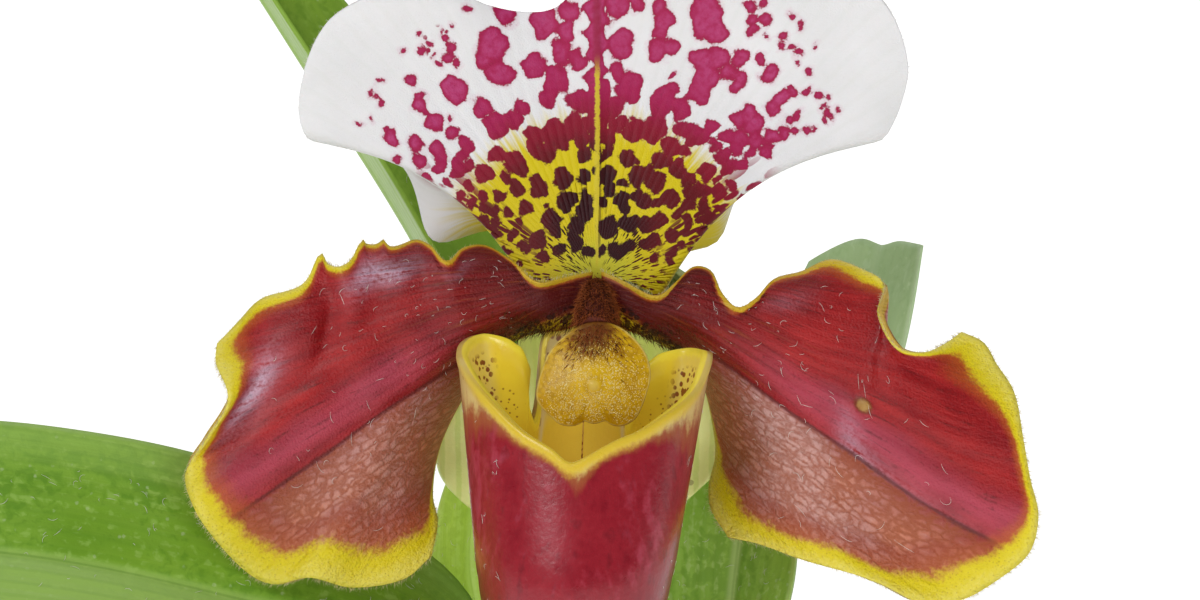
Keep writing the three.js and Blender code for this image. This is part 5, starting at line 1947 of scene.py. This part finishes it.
@dataclass(frozen=True)
class Pouch:
    """The lip: a deep pouch with an ear at each side and two slits at the back."""

    toe: float = -54.5
    dome: float = 18.0
    half_width: float = 12.8
    half_depth: float = 13.6
    flare: float = 0.135
    narrowing: float = 0.06
    lean: tuple[float, float, float, float] = (-3.6, 0.042, -16.5, 0.13)
    ear_curl: tuple[float, float, float] = (0.13, 145.0, 14.0)
    ear_roll: float = 2.6
    lobe_swell: float = 1.5
    rim_swell: float = 0.5
    wall: float = 1.2
    pale_depth: Stops = (
        (0, 3.6), (3, 3.4), (7, 2.3), (35, 2.5), (50, 4), (62, 6.4), (75, 9.5), (90, 12), (110, 13),
        (180, 13),
    )
    rim: Stops = (
        (-180, -5.2), (-164, -5.6), (-158, -8), (-154, -17.5), (-148, -17.5), (-145, -10),
        (-140, -7.8), (-133, -6.8), (-120, -6.5), (-105, -7.4), (-90, -8.8), (-75, -10.4),
        (-52, -14.6), (-31, -19), (-14, -21.6), (-6, -23.3), (-1, -23.2), (17, -20.5), (30, -19.2),
        (44, -17.2), (60, -15), (72, -13), (82, -10.4), (92, -9), (105, -8.6), (122, -8.5),
        (134, -8.9), (140, -9.8), (145, -12), (148, -17.8), (154, -17.8), (158, -8), (164, -5.6),
        (180, -5.2),
    )
    stations: Stops = ((0, 0), (0.5, 105), (0.64, 136), (0.76, 151), (0.86, 160), (1, 180))
    rows: int = 110
    columns: int = 240

    def sheet(self) -> Sheet:
        """The pouch's solid.

        Going round, its height runs from the toe to the rim by one minus a cosine. Its half-width
        and half-depth are those of the toe's dome, a quarter ellipse, and change with height. The
        hind part of each ear is drawn inwards by a bell of the angle, rolled forward up to the slit
        and swollen near its rim.

        Returns:
            The sheet with the fields that its finish reads.
        """
        a, b = np.meshgrid(shares(self.rows), shares(self.columns)[:-1], indexing="ij")
        about = np.where(b < 0.5, 2 * b, 2 * b - 2)
        degrees = np.sign(about) * along(self.stations, abs(about))
        turn = np.radians(degrees)
        rim = along(self.rim, degrees)
        z = self.toe + (rim - self.toe) * (1 - np.cos((np.pi / 2) * a**0.9))
        above = z - self.toe
        dome = np.sqrt(1 - np.clip(1 - above / self.dome, 0, 1) ** 2)
        width = (self.half_width + self.flare * np.maximum(0, above - 15)) * dome
        depth = (self.half_depth - self.narrowing * np.maximum(0, above - 15)) * dome
        hind = bell(abs(degrees), *self.ear_curl[1:])
        curl = 1 - self.ear_curl[0] * smooth(above, 26, 44) * hind
        uneven = 1 + 0.004 * ripple(degrees * 0.05, z * 0.2, 9) * smooth(above, 2, 10)
        x = width * np.sin(turn) * curl * uneven + self.lean[0] + self.lean[1] * above
        y = -depth * np.cos(turn) * curl * uneven + self.lean[2] + self.lean[3] * above
        hind_part = 1 - smooth(abs(degrees), 147, 155)
        y -= self.ear_roll * smooth(above, 28, 44) * smooth(abs(degrees), 116, 147) * hind_part
        grid = FLOWER.place(np.stack([x, y, z], axis=-1))
        run = run_along(grid, 0)
        below = run[-1:] - run
        lobe = smooth(abs(degrees), 124, 134) * (1 - smooth(abs(degrees), 143, 148))
        wall = self.wall + self.lobe_swell * lobe * bell(below, 2.6, 2.6)
        wall += self.rim_swell * bell(below, 0.7, 0.9)
        pale = below / along(self.pale_depth, abs(degrees))
        fields = {"turn": degrees, "below": below, "pale": pale}
        return Sheet(grid, wall, fields, ring=True, pole=True)

    def build(self) -> None:
        """Makes the pouch and the lint on it."""
        sheet = self.sheet()
        dress(sheet.build("pouch_skin"), PouchFinish().build(), "pouch", "pouch")
        fibres = Lint((0.42, 0.4), 170, 3).build("pouch_lint", sheet)
        dress(fibres, HAIR_WHITE.build(), "pouch")


# ---------- column and staminode ----------


@dataclass(frozen=True)
class Shield:
    """The staminode: a domed, grainy shield on the column's front, hairy at its top."""

    centre: tuple[float, float, float] = (-0.5, -11.2, -12.3)
    reach: Stops = (
        (0, 7.2), (18, 7.4), (45, 7.4), (70, 7.6), (90, 7.6), (106, 7.4), (123, 7.6), (137, 7.9),
        (152, 7.3), (162, 6), (179, 6.1), (194, 5.9), (204, 7), (216, 7.7), (226, 7.7), (236, 7.9),
        (248, 8.1), (262, 7.4), (278, 6.8), (297, 6.6), (314, 6.5), (332, 6.6), (348, 7),
        (360, 7.2),
    )
    tilt: float = 0.18
    thickness: float = 1.4
    boss: tuple[float, float] = (0.1, -1.1)
    bare: float = 0.9
    neck: float = 6.8
    rings: int = 40
    sides: int = 128
    grains: int = 3000
    grain_radii: tuple[float, float] = (0.07, 0.15)
    hairs: int = 2200

    def _points(self, a: Array, b: Array) -> tuple[Array, Array, Array]:
        """The shield's middle surface, domed by one minus a squared, with a small boss.

        Args:
            a: Shares of the way from the centre to the rim.
            b: Shares of a turn from the top.

        Returns:
            The points, and their distances from the boss and from the neck.
        """
        reach = a * along(self.reach, 360 * b)
        x, z = reach * np.sin(2 * np.pi * b), reach * np.cos(2 * np.pi * b)
        near = np.hypot(x - self.boss[0], z - self.boss[1])
        dome = 1.8 * (1 - a * a) + 0.2 * bell(near, 0, 0.5) + 0.25 * bell(near, 0, 1.6)
        cx, cy, cz = self.centre
        points = np.stack([cx + x, cy - dome + self.tilt * z, cz + z], axis=-1)
        return FLOWER.place(points), near, np.hypot(x * 1.3, z - self.neck)

    def build(self) -> None:
        """Makes the shield, the grains all over it, and the hairs that fan over its top."""
        a, b = np.meshgrid(shares(self.rings), shares(self.sides)[:-1], indexing="ij")
        grid, boss, neck = self._points(a, b)
        fields = {"out": a, "boss": boss, "neck": neck}
        sheet = Sheet(grid, np.full(a.shape, self.thickness), fields, ring=True, pole=True)
        dress(sheet.build("staminode_skin"), ShieldFinish().build(), "staminode", "staminode")
        draw = np.random.default_rng(17)
        out, turn = np.sqrt(draw.uniform(0.0, 0.97, self.grains)), draw.uniform(0, 1, self.grains)
        middle, boss, _ = self._points(out, turn)
        lift = FLOWER.place(np.array([0, -self.thickness * 0.5, 0])) - np.array(FLOWER.centre)
        centres = (middle + lift)[boss > self.bare]
        sizes = np.repeat(draw.uniform(*self.grain_radii, (len(centres), 1)), 3, axis=1)
        turns = random_turns(len(centres), draw, 1.5)
        points, faces = joined_points(*octahedron(), centres, sizes, turns)
        grains = build_mesh("staminode_beads", points, faces, {})
        finish = GrainFinish("bead_straw", "faeeb0", "e0b830", 0.7, 0.35, 0.05, 0.2)
        dress(grains, finish.build(), "staminode")
        out = 1.02 - 0.6 * draw.beta(0.9, 2.2, self.hairs)
        turn = draw.normal(0, 0.04 / out, self.hairs) % 1.0
        roots = self._points(out, turn)[0] + lift
        sideways = np.sin(2 * np.pi * turn)
        fan = np.stack([sideways * 1.2, 0 * turn - 0.45, 0 * turn - 1.0], axis=-1)
        hairs = HairCoat(1.6, 0.055, 0.2, 0.35, seed=19).build("staminode_hairs", roots, fan)
        dress(hairs, HAIR_NECK.build(), "staminode")


@dataclass(frozen=True)
class Column:
    """The short hairy neck that carries the shield."""

    line: Stops = ((0, -1.5, 0.6), (0, -3.4, -0.6), (-0.1, -6, -2.8), (-0.2, -8.95, -5.7))
    radii: Stops = ((0, 1), (0.35, 1.9), (0.75, 2.5), (1, 2.3))
    hairs: int = 2600

    def _radius(self, s: Array, turn: Array) -> Array:
        """The neck's radius by the share of its length, the same all round."""
        return along(self.radii, s) + 0 * turn

    def build(self) -> None:
        """Makes the neck and its coat of dark hairs, which point away from it."""
        curve = Curve(FLOWER.place(np.array(self.line)))
        neck = Stalk(curve, self._radius, 48, 36)
        finish = GrainFinish("column_brown", "7a3420", "3c1010", 0.8, 0.6, 0.2)
        dress(neck.build("column_skin"), finish.build(), "column", "column")
        grid, out = neck.grid()
        draw = np.random.default_rng(29)
        i = draw.integers(2, grid.shape[0] - 1, self.hairs)
        j = draw.integers(0, grid.shape[1], self.hairs)
        directions = out[i, j] + curve.heading(i / (grid.shape[0] - 1)) * 0.6
        directions[:, 2] -= 0.5
        hairs = HairCoat(1.5, 0.055, seed=31).build("column_hairs", grid[i, j], directions)
        dress(hairs, HAIR_NECK.build(), "column")


# ---------- ovary, bract and stem ----------


@dataclass(frozen=True)
class Stem:
    """The ribbed ovary behind the flower, the bract that wraps it, and the downy stem below."""

    ovary_line: Stops = (
        (0, 2.7, -3), (1.5, 8, -2.6), (6, 17, -2), (12, 26.5, -6), (16.6, 33.5, -15),
        (18, 36.6, -26),
    )
    ovary_radii: Stops = ((0, 3.2), (0.06, 3.6), (0.2, 2.8), (0.55, 3.5), (0.85, 3.0), (1, 2.4))
    ribs: int = 6
    rib_depth: float = 0.35
    stem_line: Stops = (
        (0, 0, 91.4), (0, 0, 115), (0, 0, 140), (2, 3, 158), (6, 9.5, 180), (12, 15.5, 197.3),
        (17, 17, 204.3), (18, 16.8, 209.9),
    )
    stem_radii: tuple[float, float] = (2.5, 2.2)
    unevenness: float = 0.06
    bract_start: float = 0.985
    bract_reach: float = 0.62
    bract_wrap: Stops = ((0, 2.5), (0.35, 2.0), (0.75, 1.2), (1, 0.3))
    bract_radii: Stops = ((0, 4.0), (0.3, 5.2), (0.7, 6.4), (1, 6.6))
    bract_outward: tuple[float, float, float] = (0.45, 0.35, 0.85)
    bract_thickness: float = 0.8

    def _ovary_radius(self, s: Array, turn: Array) -> Array:
        """The ovary's radius by the share of its length and the angle: stops and six ribs."""
        return along(self.ovary_radii, s) + self.rib_depth * np.cos(self.ribs * turn)

    def _stem_radius(self, s: Array, turn: Array) -> Array:
        """The stem's radius by the share of its length and the angle: a taper and a ripple."""
        low, high = self.stem_radii
        return low + (high - low) * s + self.unevenness * ripple(s * 90, turn * 2, 4)

    def _stalk(self, stalk: Stalk, node: str, finish: GrainFinish, hairs: int, long: float) -> None:
        """Makes a stalk and sets short hairs all over it.

        Args:
            stalk: The stalk.
            node: The node that it replaces.
            finish: Its finish.
            hairs: How many hairs.
            long: The length of a hair.
        """
        dress(stalk.build(node + "_skin"), finish.build(), node, node)
        grid, out = stalk.grid()
        draw = np.random.default_rng(hairs)
        i, j = (draw.integers(0, grid.shape[k], hairs) for k in (0, 1))
        coat = HairCoat(long, 0.04, seed=hairs).build(node + "_hairs", grid[i, j], out[i, j])
        dress(coat, GrainFinish("hair_stem", "b59a7c", "6a4a3c", 1.0, 0.7).build(), node)

    def build(self) -> None:
        """Makes the ovary, the stem, both coats of hairs and the bract."""
        line = Curve(FLOWER.place(np.array(self.ovary_line)))
        finish = GrainFinish("ovary_green", "869a4a", "5c6a30", 2.0, 0.6, 0.15)
        self._stalk(Stalk(line, self._ovary_radius, 72, 90), "ovary", finish, 900, 0.8)
        line = Curve(self.stem_line)
        finish = GrainFinish("stem_green", "6f7a3c", "46522a", 3.0, 0.65, 0.2)
        self._stalk(Stalk(line, self._stem_radius, 40, 150), "flower_stem", finish, 2200, 1.0)
        self._bract()

    def _bract(self) -> None:
        """Makes the bract: an arc about the ovary whose reach and radius follow the stops."""
        line = Curve(self.ovary_line)
        a, b = shares(44), shares(50)
        s = self.bract_start - self.bract_reach * a
        centre, forward = line.at(s), line.heading(s)
        outward = np.array(self.bract_outward)
        outward = unit(outward - forward * (forward @ outward)[:, None])
        sideways = np.cross(forward, outward)
        wrap = along(self.bract_wrap, a)[:, None] * (2 * b - 1)[None]
        ribs = 0.08 * np.cos(22 * wrap) * np.clip((1 - abs(2 * b - 1)) * 5, 0, 1)[None]
        radius = along(self.bract_radii, a)[:, None] + ribs
        grid = centre[:, None] + outward[:, None] * (radius * np.cos(wrap))[..., None]
        grid = FLOWER.place(grid + sideways[:, None] * (radius * np.sin(wrap))[..., None])
        fields = {"across": radius * wrap, "run": run_along(grid, 0)}
        sheet = Sheet(grid, np.full(radius.shape, self.bract_thickness), fields, flip=True)
        finish = StripedFinish("bract_green", "b7c884", "86a848", "d3dcae", 1.8, blush=0.55)
        dress(sheet.build("bract_skin"), finish.build(), "bract", "bract")


# ---------- leaves ----------


@dataclass(frozen=True)
class Leaf:
    """One strap leaf of the fan; its place in the fan sets its sheath.

    heading is the direction that it leaves the crown in, in degrees from +X; twist turns its blade
    about the rib towards the tip; channel is the angle that raises each half. At the tip, notch
    draws the middle in, fall draws one side in, and blunt keeps it wide.
    """

    name: str
    order: int
    heading: float
    half_width: float
    twist: float
    channel: float
    rib: Stops
    finish: LeafFinish
    notch: float = 2.5
    blunt: float = 0.0
    fall: float = 0.0
    lint: int = 90
    widths: Stops = (
        (0, 0.42), (0.15, 0.45), (0.35, 0.61), (0.55, 0.96), (0.68, 1), (0.82, 0.88), (0.91, 0.68),
        (0.97, 0.4), (1, 0.12),
    )
    count: int = 8
    innermost: float = 3.7
    sheath_step: float = 1.3
    sheath_wrap: float = 1.13
    foot: float = 91.35
    lowest_parting: float = 108.0
    parting_step: float = 5.0
    opening: float = 60.0
    twist_range: tuple[float, float] = (10.0, 100.0)
    thickness: float = 0.9
    edge: float = 0.6
    rows: int = 110
    columns: int = 40

    def build(self) -> None:
        """Makes the leaf.

        Across each station of the rib lies an arc whose radius is the sheath's and grows with the
        square of the distance past it, so the leaf opens out flat. Each half is raised by the
        channel's slope, a bell draws the midrib into a fold, and the margin waves a little.
        """
        clasp = self.innermost + self.sheath_step * (self.count - 1 - self.order)
        bearing = math.radians(self.heading)
        outward = np.array([math.cos(bearing), math.sin(bearing), 0.0])
        level = np.array([-outward[1], outward[0], 0.0])
        parting = self.lowest_parting + self.parting_step * self.order
        sheath = [self.foot, (self.foot + parting) / 2, parting - 5, parting]
        points = [[clasp * outward[0], clasp * outward[1], z] for z in sheath]
        line = Curve([*points, *self.rib])
        a, b = shares(self.rows)[:, None], shares(self.columns)[None]
        t = 2 * b - 1
        short = self.notch * bell(t, 0, 0.3) + self.fall * np.maximum(0, t) ** 2
        s = (1 - short * a**12 / line.length) * a**0.85
        forward = line.heading(s)
        side = unit(level - forward * (forward @ level)[..., None])
        past = np.maximum(0, s * line.length - (parting - self.foot))
        turn = (math.radians(self.twist) * smooth(past, *self.twist_range))[..., None]
        side = side * np.cos(turn) + np.cross(forward, side) * np.sin(turn)
        upper = np.cross(forward, side)
        reach = self.half_width * along(self.widths, s * (1 - self.blunt)) * t
        radius = clasp + past**2 / self.opening
        bend = np.clip(reach / radius, -self.sheath_wrap, self.sheath_wrap)
        opened = smooth(past, 0, self.opening)
        raised = abs(reach) * math.tan(math.radians(self.channel)) * opened
        raised -= 0.55 * bell(reach, 0, 1.6) * opened * smooth(1 - a, 0, 0.1)
        raised += 0.5 * np.sin(past * 0.16 + self.order) * t**2 * opened * (1 - a)
        grid = line.at(s) + side * (radius * np.sin(bend))[..., None]
        grid = grid + upper * (radius * (1 - np.cos(bend)) + raised)[..., None]
        inside = np.minimum(1, np.minimum(6 * b, 6 * (1 - b))) + 0 * a
        thick = self.edge + (self.thickness - self.edge) * inside
        margin = np.minimum(abs(reach[:, :1] - reach), abs(reach[:, -1:] - reach))
        fields = {"across": reach, "run": s * line.length, "margin": margin}
        sheet = Sheet(grid, thick, fields, flip=True)
        dress(sheet.build(self.name + "_skin"), self.finish.build(), "leaves", self.name)
        pitch = (line.length / self.rows, 2 * self.half_width / self.columns)
        fibres = Lint(pitch, self.lint, self.order).build(self.name + "_lint", sheet)
        dress(fibres, HAIR_WHITE.build(), "leaves")


def leaves() -> list[Leaf]:
    """The leaves of the fan.

    Returns:
        One Leaf for each, from the outermost to the innermost.
    """
    deep = LeafFinish("leaf_deep", "729e1e", "8ab43c", "4f8416", "9cc050")
    # broad: one half painted paler, as lit
    broad = LeafFinish("leaf_broad", "729e1e", "8ab43c", "4f8416", "a4c864", painted_light_half=0.7)
    # grey, lime and tall: their glow is a painted glow
    grey = LeafFinish("leaf_grey", "a6c488", "b8d0a0", "96b67a", "c4d8b4", "b0cc98", 0.3, glow=0.13)
    lime = LeafFinish("leaf_lime", "a8c64c", "b4d050", "8fb13c", "c4dc86", glow=0.22)
    mid = LeafFinish("leaf_mid", "8cb83e", "a4cc58", "6a982e", "c4dc8c")
    tall = LeafFinish("leaf_tall", "76a028", "90b43c", "5f8a20", "9cc052", "7ea034", 0.3, glow=0.1)
    return [
        Leaf("leaf_front_right", 0, -14, 20, 8, 14,
             [[26, -7, 128], [58, -15, 148], [100, -26, 150], [138, -35, 128]], mid),
        Leaf("leaf_back_left", 1, 150, 19, -6, 14,
             [[-23, 13, 132], [-52, 29, 151], [-90, 50, 152], [-124, 68, 132]], mid),
        Leaf("leaf_back_right", 2, 34, 19, 6, 15,
             [[19, 13, 135], [44, 32, 154], [78, 57, 157], [108, 80, 142]], deep),
        Leaf("leaf_left", 3, 203, 20, -46, 8,
             [[-10, -4.5, 140], [-14, -9, 166], [-23, -16, 188], [-52, -24, 199.5], [-82, -30, 207],
              [-116, -35, 209], [-150, -38, 200]], broad, lint=380),
        Leaf("leaf_right_inner", 4, -20, 14, 88, 4,
             [[12, -7.5, 143], [17, -12, 162], [18, -10, 178], [19.5, -6.5, 194], [21, -4, 206],
              [22.5, -2, 218]], mid),
        Leaf("leaf_left_inner", 5, 165, 9, -62, 10,
             [[-7.5, 5.5, 147], [-9.5, 10.6, 166], [-15, 11, 180], [-19, 8, 194], [-18.5, 6, 206],
              [-17, 5, 217]], lime),
        Leaf("leaf_right_tall", 6, 40, 15, 2, 12,
             [[6, 9, 152], [10, 14, 168], [18.5, 20.5, 189], [36, 26.5, 217],
              [44.8, 31, 243.5]], grey, 1.3, 0.085, 6.5),
        Leaf("leaf_left_tall", 7, 145, 14.5, 12, 29,
             [[-4, 4, 155], [-8, 11, 196], [-16, 18, 222], [-28, 22, 245], [-45, 25, 272],
              [-61, 28, 297]], tall),
    ]


# ---------- bark and pot ----------


@dataclass(frozen=True)
class Pot:
    """The clay pot, a lathed shell with a band under its rim and three drain holes."""

    height: float = 105.0
    rim_radius: float = 62.0
    foot_radius: float = 44.0
    wall: float = 5.0
    floor: float = 6.0
    band: float = 18.0
    segments: int = 160
    holes: int = 3
    hole_radius: float = 5.0
    hole_sides: int = 32
    hole_circle: float = 24.0
    overcut: float = 5.0
    mesh_step: float = 2.5

    def radius(self, z: float) -> float:
        """The outside radius of the wall at a height."""
        return self.foot_radius + (self.rim_radius - 2 - self.foot_radius) * z / self.height

    def _profile(self) -> Array:
        """The wall's section.

        Returns:
            Its corners, each a radius and a height, from the axis and back to it.
        """
        band, top = self.height - self.band, self.height
        foot, rim = self.foot_radius, self.rim_radius
        outer, inner = self.radius(band), self.radius(top) - self.wall
        well = self.radius(self.floor) - self.wall
        corners = [
            [0, 0], [foot - 1.5, 0], [foot - 0.4, 0.4], [foot, 1.5],
            [outer - 0.5, band - 1.2], [outer - 0.1, band - 0.4], [outer + 1.0, band],
            [rim + 0.6, band + 0.5], [rim + 1, band + 1.5], [rim + 2, top - 2.4],
            [rim + 1.9, top - 1.2], [rim + 1.4, top - 0.35], [rim + 0.6, top],
            [inner + 1, top], [inner + 0.3, top - 0.4], [inner, top - 1.5],
            [well + 2, self.floor + 2.5], [well - 2, self.floor], [0, self.floor],
        ]
        return np.array(corners, float)

    def build(self) -> None:
        """Makes the pot: the profile turned round the axis, with drain holes cut by a Boolean."""
        corners = self._profile()
        pieces = [corners[:1]]
        for start, end in zip(corners, corners[1:]):
            count = max(1, int(np.linalg.norm(end - start) / self.mesh_step))
            pieces.append(start + (end - start) * shares(count)[1:, None])
        r, z = np.hsplit(np.vstack(pieces), 2)
        turn = round_angles(self.segments)
        wobble = 0.12 * np.sin(z * 0.9) + 0.1 * ripple(z * 0.1, turn[None] * 2, 6)
        hold = smooth(r, 5, 30) * smooth(z, 1, 6) * smooth(-z, -103, -98)
        pot = build_mesh("pot_clay", *lathed(r + wobble * hold * 0.8, z, turn), {})
        self._drill(pot)
        dress(pot, ClayFinish().build(), "clay", "pot")

    def _drill(self, pot: bpy.types.Object) -> None:
        """Cuts the drain holes and applies the cut.

        Args:
            pot: The pot.
        """
        turn = round_angles(self.hole_sides)
        circle = self.hole_radius * np.stack([np.cos(turn), np.sin(turn)], axis=-1)
        low, high = -self.overcut, self.floor + self.overcut
        for angle in round_angles(self.holes) + np.pi / 2:
            middle = self.hole_circle * np.array([math.cos(angle), math.sin(angle)])
            rings = [
                np.column_stack([middle + circle * size, np.full(self.hole_sides, z)])
                for size, z in ((0, low), (1, low), (1, high), (0, high))
            ]
            drill = build_mesh("drill", *stacked_rings(np.stack(rings)), {})
            cut = pot.modifiers.new("drain", "BOOLEAN")
            cut.operation, cut.object, cut.solver = "DIFFERENCE", drill, "EXACT"
            with bpy.context.temp_override(object=pot, active_object=pot):
                bpy.ops.object.modifier_apply(modifier=cut.name)
            bpy.data.objects.remove(drill, do_unlink=True)


@dataclass(frozen=True)
class Bark:
    """The bed of potting bark: a mound with loose chips on it and a dip round the crown."""

    edge: float = 44.0
    crown_radius: float = 14.0
    crown_bottom: float = 91.0
    shoulder: float = 88.0
    gap: float = 0.35
    segments: int = 96
    chips: int = 300
    lean: float = 0.5
    squareness: float = 7.0
    golden_angle: float = 2.39996

    def _chip(self) -> tuple[Array, Array]:
        """A bevelled block of half-size 1: a rounded box, of a high power, on a small grid.

        Returns:
            Its points and its triangles.
        """
        v, u = np.meshgrid(np.linspace(0, np.pi, 7), round_angles(12), indexing="ij")
        ball = np.stack([np.sin(v) * np.cos(u), np.sin(v) * np.sin(u), np.cos(v)], axis=-1)
        size = (abs(ball) ** self.squareness).sum(axis=-1, keepdims=True) ** (1 / self.squareness)
        return stacked_rings(ball / size)

    def build(self, pot: Pot) -> None:
        """Makes the mound, lathed, and the chips, spread by the golden angle with seeded jitter.

        Args:
            pot: The pot that it fills.
        """
        base = pot.floor + self.gap
        radii = [pot.radius(z) - pot.wall - self.gap for z in (base, base + 2.5, self.shoulder)]
        crown = self.crown_radius
        r, z = np.hsplit(np.array([
            [0, base], [radii[0] - 2, base], [radii[1], base + 2.5], [radii[2], self.shoulder],
            [self.edge, 91], [26, 93.5], [crown + 3, 95], [crown, 94.5],
            [crown, self.crown_bottom], [0, self.crown_bottom],
        ]), 2)
        points, faces = lathed(r, z, round_angles(self.segments))
        finish = BarkFinish().build()
        mound = build_mesh("bark_mound", points, faces, {"chip": np.full(len(points), 0.2)})
        dress(mound, finish, "bark", "potting_bark")
        draw = np.random.default_rng(7)
        share = np.sqrt((np.arange(self.chips) + 0.5) / self.chips)
        radius = crown + 6 + (self.edge + 1.5 - crown - 6) * share
        angle = np.arange(self.chips) * self.golden_angle
        height = 95.5 - 5.0 * share + draw.uniform(-0.8, 2.2, self.chips)
        centres = np.stack([radius * np.cos(angle), radius * np.sin(angle), height], axis=-1)
        sizes = draw.uniform([3.2, 2.0, 1.0], [6.2, 4.2, 2.2], (self.chips, 3))
        turns = random_turns(self.chips, draw, self.lean)
        shape, faces = self._chip()
        points, faces = joined_points(shape, faces, centres, sizes, turns)
        points = points + draw.normal(0, 0.16, points.shape)
        shade = np.repeat(draw.uniform(0, 1, self.chips), len(shape))
        dress(build_mesh("bark_chips", points, faces, {"chip": shade}), finish, "bark")


# ---------- the studio ----------


@dataclass(frozen=True)
class Studio:
    """A pale glowing floor, a soft dome of light, a key and a fill light, and the camera.

    Its lengths are in metres, but for the lens and the sensor, which are in millimetres.
    """

    floor_radius: float = 30.0
    floor_sides: int = 96
    paper: str = "fbfbfa"
    white: str = "ffffff"
    glow: float = 0.45
    dome: float = 0.32
    key: float = 7.5
    fill: float = 7.0
    wash: float = 160.0
    camera_place: tuple[float, float, float] = (0.00042, -0.46186, 0.30295)
    camera_pitch: float = 82.0
    lens: float = 95.74
    sensor: float = 36.0

    def _area(
        self, name: str, place: Place, aim: Place, size: float, power: float
    ) -> bpy.types.Object:
        """Hangs a square area light at a place, turned towards another.

        Args:
            name: The light's name.
            place: Where it hangs.
            aim: What it shines at.
            size: Its side.
            power: Its power, in watts.

        Returns:
            The light's object.
        """
        lamp = bpy.data.lights.new(name, "AREA")
        lamp.energy, lamp.size = power, size
        made = link(name, lamp)
        made.location = place
        way = Vector(aim) - Vector(place)
        made.rotation_euler = way.to_track_quat("-Z", "Y").to_euler()
        return made

    def _floor(self) -> None:
        """Makes the glowing floor, one fan of triangles round the origin."""
        turn = round_angles(self.floor_sides)
        ring = np.stack([np.cos(turn), np.sin(turn), 0 * turn], axis=-1) * self.floor_radius / MM
        ids = np.arange(self.floor_sides)
        faces = np.stack([ids, np.roll(ids, -1), np.full(ids.shape, self.floor_sides)], axis=-1)
        floor = build_mesh("studio_floor", np.vstack([ring, [[0, 0, 0]]]), faces, {})
        finish = Board("floor_pale").finish(
            self.paper, 0.9,
            Specular_IOR_Level=0.1, Emission_Color=self.white, Emission_Strength=self.glow,
        )
        floor.data.materials.append(finish)

    def build(self) -> None:
        """Sets out the floor, the lights, the view and the camera."""
        self._floor()
        world = bpy.data.worlds.new("studio_dome")
        world.use_nodes = True
        sky = world.node_tree.nodes["Background"].inputs
        sky["Color"].default_value = tone(self.white)
        sky["Strength"].default_value = self.dome
        world.cycles_visibility.glossy = False
        bpy.context.scene.world = world
        self._area("key_light", (-0.7, -0.9, 1.1), (0, 0, 0.24), 0.6, self.key)
        fill = self._area("fill_light", (0.6, -1.6, 0.1), (0, 0, 0.22), 0.8, self.fill)
        fill.visible_glossy = False
        self._area("floor_wash", (0, 4.5, 4.0), (0, 4.5, 0), 6.0, self.wash)
        bpy.context.scene.view_settings.view_transform = "Standard"
        lens = bpy.data.cameras.new("camera")
        lens.lens, lens.sensor_width, lens.sensor_fit = self.lens, self.sensor, "HORIZONTAL"
        lens.clip_start = 0.01
        camera = link("camera", lens)
        camera.location = self.camera_place
        camera.rotation_euler = (math.radians(self.camera_pitch), 0, 0)
        bpy.context.scene.camera = camera


# ---------- assembly ----------


def main() -> None:
    """Builds the studio and the plant in order."""
    logging.basicConfig(level=logging.INFO, format="%(name)s: %(message)s")
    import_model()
    Studio().build()
    pot = Pot()
    pot.build()
    Bark().build(pot)
    for leaf in leaves():
        leaf.build()
    Stem().build()
    Synsepal().build()
    Pouch().build()
    Column().build()
    Shield().build()
    LEFT_PETAL.build()
    RIGHT_PETAL.build()
    DorsalSepal().build()


if __name__ == "__main__":
    main()
